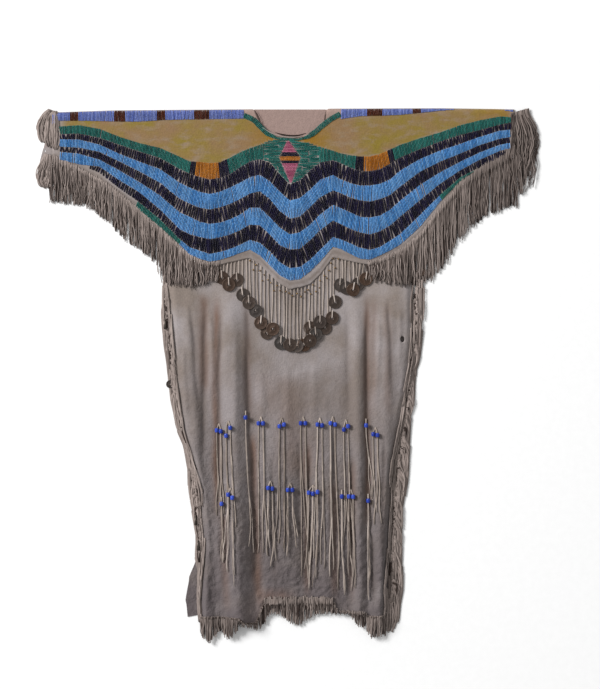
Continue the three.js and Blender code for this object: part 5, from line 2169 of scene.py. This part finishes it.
@dataclass
class Drops:
    """Blue glass beads on thongs, drawn through the skirt in two rows.

    Attributes:
        ground: What they lie on.
        glass: The beads' material.
        hide: The thongs' material.
        rng: Source of the thongs' unevenness.
    """

    ground: Ground
    glass: Material
    hide: Material
    rng: np.random.Generator = field(default_factory=lambda: np.random.default_rng(17))

    POINTS = 18
    TIE = 16.0
    RADIUS, HALF = 4.9, 5.2
    # Each slit's beads: u, v, how far the thong hangs, how far it drifts
    UPPER = (
        ((-175, 768, 236, 6), (-165, 770, 212, 8)), ((-152, 780, 200, 4), (-142, 761, 262, 10)),
        ((-106, 737, 330, 16),), ((-75, 751, 330, 2), (-64, 751, 320, 8)),
        ((-25, 758, 300, -2), (-14, 754, 322, 4)), ((26, 751, 368, 4), (37, 751, 340, 10)),
        ((66, 754, 330, -6), (77, 756, 348, 6)), ((97, 751, 372, 2), (108, 754, 400, 8)),
        ((129, 766, 300, 4), (139, 758, 326, 10)), ((182, 756, 186, 14),),
        ((199, 777, 190, 0), (209, 779, 236, 2)),
    )
    LOWER = (
        ((-163, 943, 150, 4),), ((-147, 920, 196, -4), (-137, 927, 222, 4)),
        ((-52, 905, 170, 0), (-42, 907, 196, 6)), ((-5, 910, 166, -4), (6, 910, 150, 4)),
        ((45, 917, 210, -4), (55, 919, 244, 0), (66, 915, 230, 5)), ((124, 926, 246, 2),),
        ((141, 926, 220, -3), (151, 926, 250, 4)), ((187, 936, 254, 2),),
    )

    def bead(self, u: float, v: float, height: float) -> tuple[Array, list[Array]]:
        """One barrel bead along v.

        Args:
            u: Its place across.
            v: Its place down.
            height: Its underside.

        Returns:
            Corners in the row frame, and the faces.
        """
        around, steps = 18, 10
        turn = np.linspace(0, 2 * math.pi, around + 1)[:-1]
        rings = []
        for k in range(steps + 1):
            a = math.pi * (k / steps) - math.pi / 2
            radius = self.RADIUS * (0.42 + 0.58 * abs(math.cos(a)) ** 0.55)
            ahead = self.HALF * math.sin(a)
            rings.append(np.stack([
                u + radius * np.cos(turn), np.full(around, v + ahead),
                height + self.RADIUS + radius * np.sin(turn),
            ], 1))
        # The hole's wall joins the last ring to the first
        return to_frame(np.concatenate(rings)), [ring_faces(steps + 1, around)]

    def build(self) -> list[Piece]:
        """Makes both rows.

        Returns:
            The pieces.
        """
        pieces = []
        for row, groups, lifted in (("upper", self.UPPER, 0.0), ("lower", self.LOWER, 2.6)):
            nodes = tuple(f"drop_{row}_{k + 1:02d}" for k in range(len(groups)))
            pieces.append(self.beads(row, groups, nodes))
            pieces.append(self.thongs(row, groups, lifted))
        return pieces

    def beads(self, row: str, groups: tuple, nodes: tuple[str, ...]) -> Piece:
        """The beads of one row.

        Args:
            row: Which row.
            groups: Its slits.
            nodes: The solids that the row stands for.

        Returns:
            The piece.
        """
        bodies = []
        for group in groups:
            for u, v, _, _ in group:
                around = np.linspace(-self.RADIUS, self.RADIUS, 5)
                height = float(self.ground.at(u + around, np.full(5, v)).max()) - 0.3
                corners, quads = self.bead(u, v, height)
                tone = np.full(len(corners), self.rng.uniform(0.2, 1.0))
                bodies.append((corners, quads, tone))
        points, faces, tones = joined(bodies)
        return add_piece(
            f"beads_{row}_row", points, faces, self.glass, nodes, {"tone": tones}
        )

    def thongs(self, row: str, groups: tuple, lifted: float) -> Piece:
        """The thongs of one row.

        Args:
            row: Which row.
            groups: Its slits.
            lifted: How far they lie above the hide, on other thongs.

        Returns:
            The piece.
        """
        lines, heights = [], []
        t = np.linspace(0, 1, self.POINTS)
        for group in groups:
            tie_u = sum(b[0] for b in group) / len(group)
            tie_v = min(b[1] for b in group) - self.TIE
            for u, v, hangs, drift in group:
                for _ in range(2):
                    swing = self.rng.normal(0, 2.2)
                    phase = self.rng.uniform(0, 6)
                    low = v + hangs - self.rng.uniform(0, 40)
                    down = tie_v + (low - tie_v) * t
                    near = smooth((down - tie_v) / self.TIE)
                    far = smooth((down - v) / (low - v + 1e-6))
                    across = mix(tie_u, u, near) + drift * far
                    bend = 2.6 * np.sin(phase + 6 * t) + 1.3 * np.sin(2 * phase + 15 * t)
                    across = across + far * (swing * 2.4 * t + bend)
                    lines.append(np.stack([across, down], 1))
                    heights.append(lifted * smooth((down - v) / 20))
        line = np.stack(lines)
        base = self.ground.at(line[..., 0], line[..., 1]) + np.stack(heights) - 0.2
        paths = np.concatenate([line, base[..., None]], -1)
        count = len(line)
        width = self.rng.uniform(2.2, 3.6, (count, 1)) * (1 - 0.3 * t[None, :] ** 4)
        twist = self.rng.normal(0, 0.7, (count, 1)) * np.sin(3 + t * 9)[None, :]
        ribbons = Ribbons(paths, width, twist, 1.1)
        points, faces = ribbons.mesh()
        tone = ribbons.tone(self.rng.uniform(0.1, 0.8, (count, 1)) * np.ones(self.POINTS))
        return add_piece(
            f"thongs_{row}_row", points, faces, self.hide, (), {"tone": tone}
        )


class Trinkets:
    """A disc, a coin and three tin cones among the side fringe."""

    CONES = (("side_cone_1", -299, 514), ("side_cone_2", -226, 984), ("side_cone_3", -220, 1044))
    LONG, MOUTH, TIP, WALL, SIDES = 22.0, 4.0, 1.6, 0.5, 20

    def build(self, coins: Coins, tin: Material) -> list[Piece]:
        """Makes them.

        Args:
            coins: The maker of coins.
            tin: The cones' material.

        Returns:
            The pieces.
        """
        discs = coins.gather("coins_side", [
            ("side_disc_left", *SIDE_DISC, 10.0, 2.2), ("side_coin_right", 314, 389, 10.0, 2.2),
        ], 0.02)
        return [discs, self.cones(tin)]

    def cones(self, tin: Material) -> Piece:
        """The rolled cones, open at both ends."""
        bodies = []
        turn = np.linspace(0, 2 * math.pi, self.SIDES + 1)[:-1]
        inner_mouth, inner_tip = self.MOUTH - self.WALL, self.TIP - self.WALL
        rings = ((-0.5, self.TIP), (0.5, self.MOUTH), (0.5, inner_mouth), (-0.5, inner_tip))
        for node, u, v in self.CONES:
            low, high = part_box(node)
            centre = (low.z + high.z) / 2 / MM
            points = np.concatenate([
                np.stack([
                    u + radius * np.cos(turn), np.full(self.SIDES, v + ahead * self.LONG),
                    centre + radius * np.sin(turn),
                ], 1) for ahead, radius in rings
            ])
            faces = [ring_faces(len(rings), self.SIDES)]
            bodies.append((to_frame(points), faces, np.zeros(len(points))))
        points, faces, _ = joined(bodies)
        nodes = tuple(node for node, _, _ in self.CONES)
        return add_piece("cones_side", points, faces, tin, nodes)


@dataclass
class Studio:
    """The floor, the lights and the camera.

    Attributes:
        middle: The point the camera looks down on, in metres.
        distance: The camera's height.
    """

    middle: tuple[float, float] = (0.028, 0.0752)
    distance: float = 3.6747

    def floor(self) -> None:
        """Lays pale paper under the dress."""
        mesh = bpy.data.meshes.new("studio_floor")
        half = 6.0
        mesh.from_pydata(
            [(-half, -half, 0), (half, -half, 0), (half, half, 0), (-half, half, 0)], [],
            [(0, 1, 2, 3)],
        )
        mesh.materials.append(StudioPaper().build())
        floor = bpy.data.objects.new("studio_floor", mesh)
        bpy.context.scene.collection.objects.link(floor)

    def light(self, name: str, place: tuple, size: float, watts: float) -> None:
        """Adds a soft square light that looks at the dress.

        Args:
            name: Its name.
            place: Where it is, in metres.
            size: Its side.
            watts: Its power.
        """
        data = bpy.data.lights.new(name, "AREA")
        data.shape = "SQUARE"
        data.size = size
        data.energy = watts
        lamp = bpy.data.objects.new(name, data)
        lamp.location = place
        lamp.rotation_mode = "QUATERNION"
        lamp.rotation_quaternion = (-Vector(place)).to_track_quat("-Z", "Y")
        bpy.context.scene.collection.objects.link(lamp)

    def camera(self) -> None:
        """Looks straight down, as the photograph looks straight on."""
        data = bpy.data.cameras.new("camera")
        data.lens = 80.0
        data.sensor_width = 36.0
        camera = bpy.data.objects.new("camera", data)
        camera.location = (*self.middle, self.distance)
        bpy.context.scene.collection.objects.link(camera)
        bpy.context.scene.camera = camera

    def build(self) -> None:
        """Sets the studio up."""
        self.floor()
        self.camera()
        self.light("key", (-9.4, 5.4, 6.9), 4.4, 2060.0)
        world = bpy.data.worlds.new("studio")
        world.use_nodes = True
        background = world.node_tree.nodes["Background"]
        background.inputs["Color"].default_value = (1.0, 1.0, 1.0, 1.0)
        background.inputs["Strength"].default_value = 0.44
        bpy.context.scene.world = world
        bpy.context.scene.view_settings.view_transform = "Standard"


def main() -> None:
    """Builds the dress in the order in which it was made."""
    logging.basicConfig(level=logging.INFO, format="%(name)s: %(message)s")
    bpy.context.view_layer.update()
    Studio().build()
    hide = BrainTannedHide("smoked_hide").build()
    painted = BrainTannedHide("painted_hide", flesh="#978077", paint=(
        "#876b4c", "#837029", "#8b7761", "#89641c",
    )).build()
    strands = CutThong("cut_hide").build()
    thongs = CutThong("thong_hide", "#b6aaa2", "#85786f").build()
    brass = AgedBrass("aged_brass").build()
    glass = {
        Colour.GREEN: DrawnGlass("green_glass", "#0d514c", "#2c746b").build(),
        Colour.NAVY: DrawnGlass("navy_glass", "#080616", "#1a1534").build(),
        Colour.SKY: DrawnGlass("sky_glass", "#3575b4", "#6ca1d6").build(),
        Colour.OCHRE: DrawnGlass("ochre_glass", "#9a5a0a", "#b9762a").build(),
        Colour.ROSE: DrawnGlass("rose_glass", "#a0486a", "#bd6c88").build(),
        Colour.LILAC: DrawnGlass("lilac_glass", "#5b6db4", "#7d8cc8").build(),
        Colour.BROWN: DrawnGlass("brown_glass", "#3a1408", "#5a2a18").build(),
    }
    ground = Ground()
    back = BackHide().build(BrainTannedHide("inner_hide", flesh="#98817a").build())
    front = FrontHide().build(hide)
    yoke = Yoke().build(painted)
    LaneBeads(glass).build()
    Fringe(ground, strands).build()
    coins = Coins(brass)
    middle = MiddleThongs(ground, thongs)
    middle.build(coins)
    middle.brass_beads(AgedBrass("bead_brass", "#6a5238", "#6a5238", "#a98c5c").build())
    coins.build()
    coins.ties(thongs)
    NeckEdge(strands).build()
    Drops(ground, DrawnGlass("cobalt_glass", "#22348a", "#3a52b8", 0.16).build(), thongs).build()
    Trinkets().build(coins, RolledTin().build())


if __name__ == "__main__":
    main()
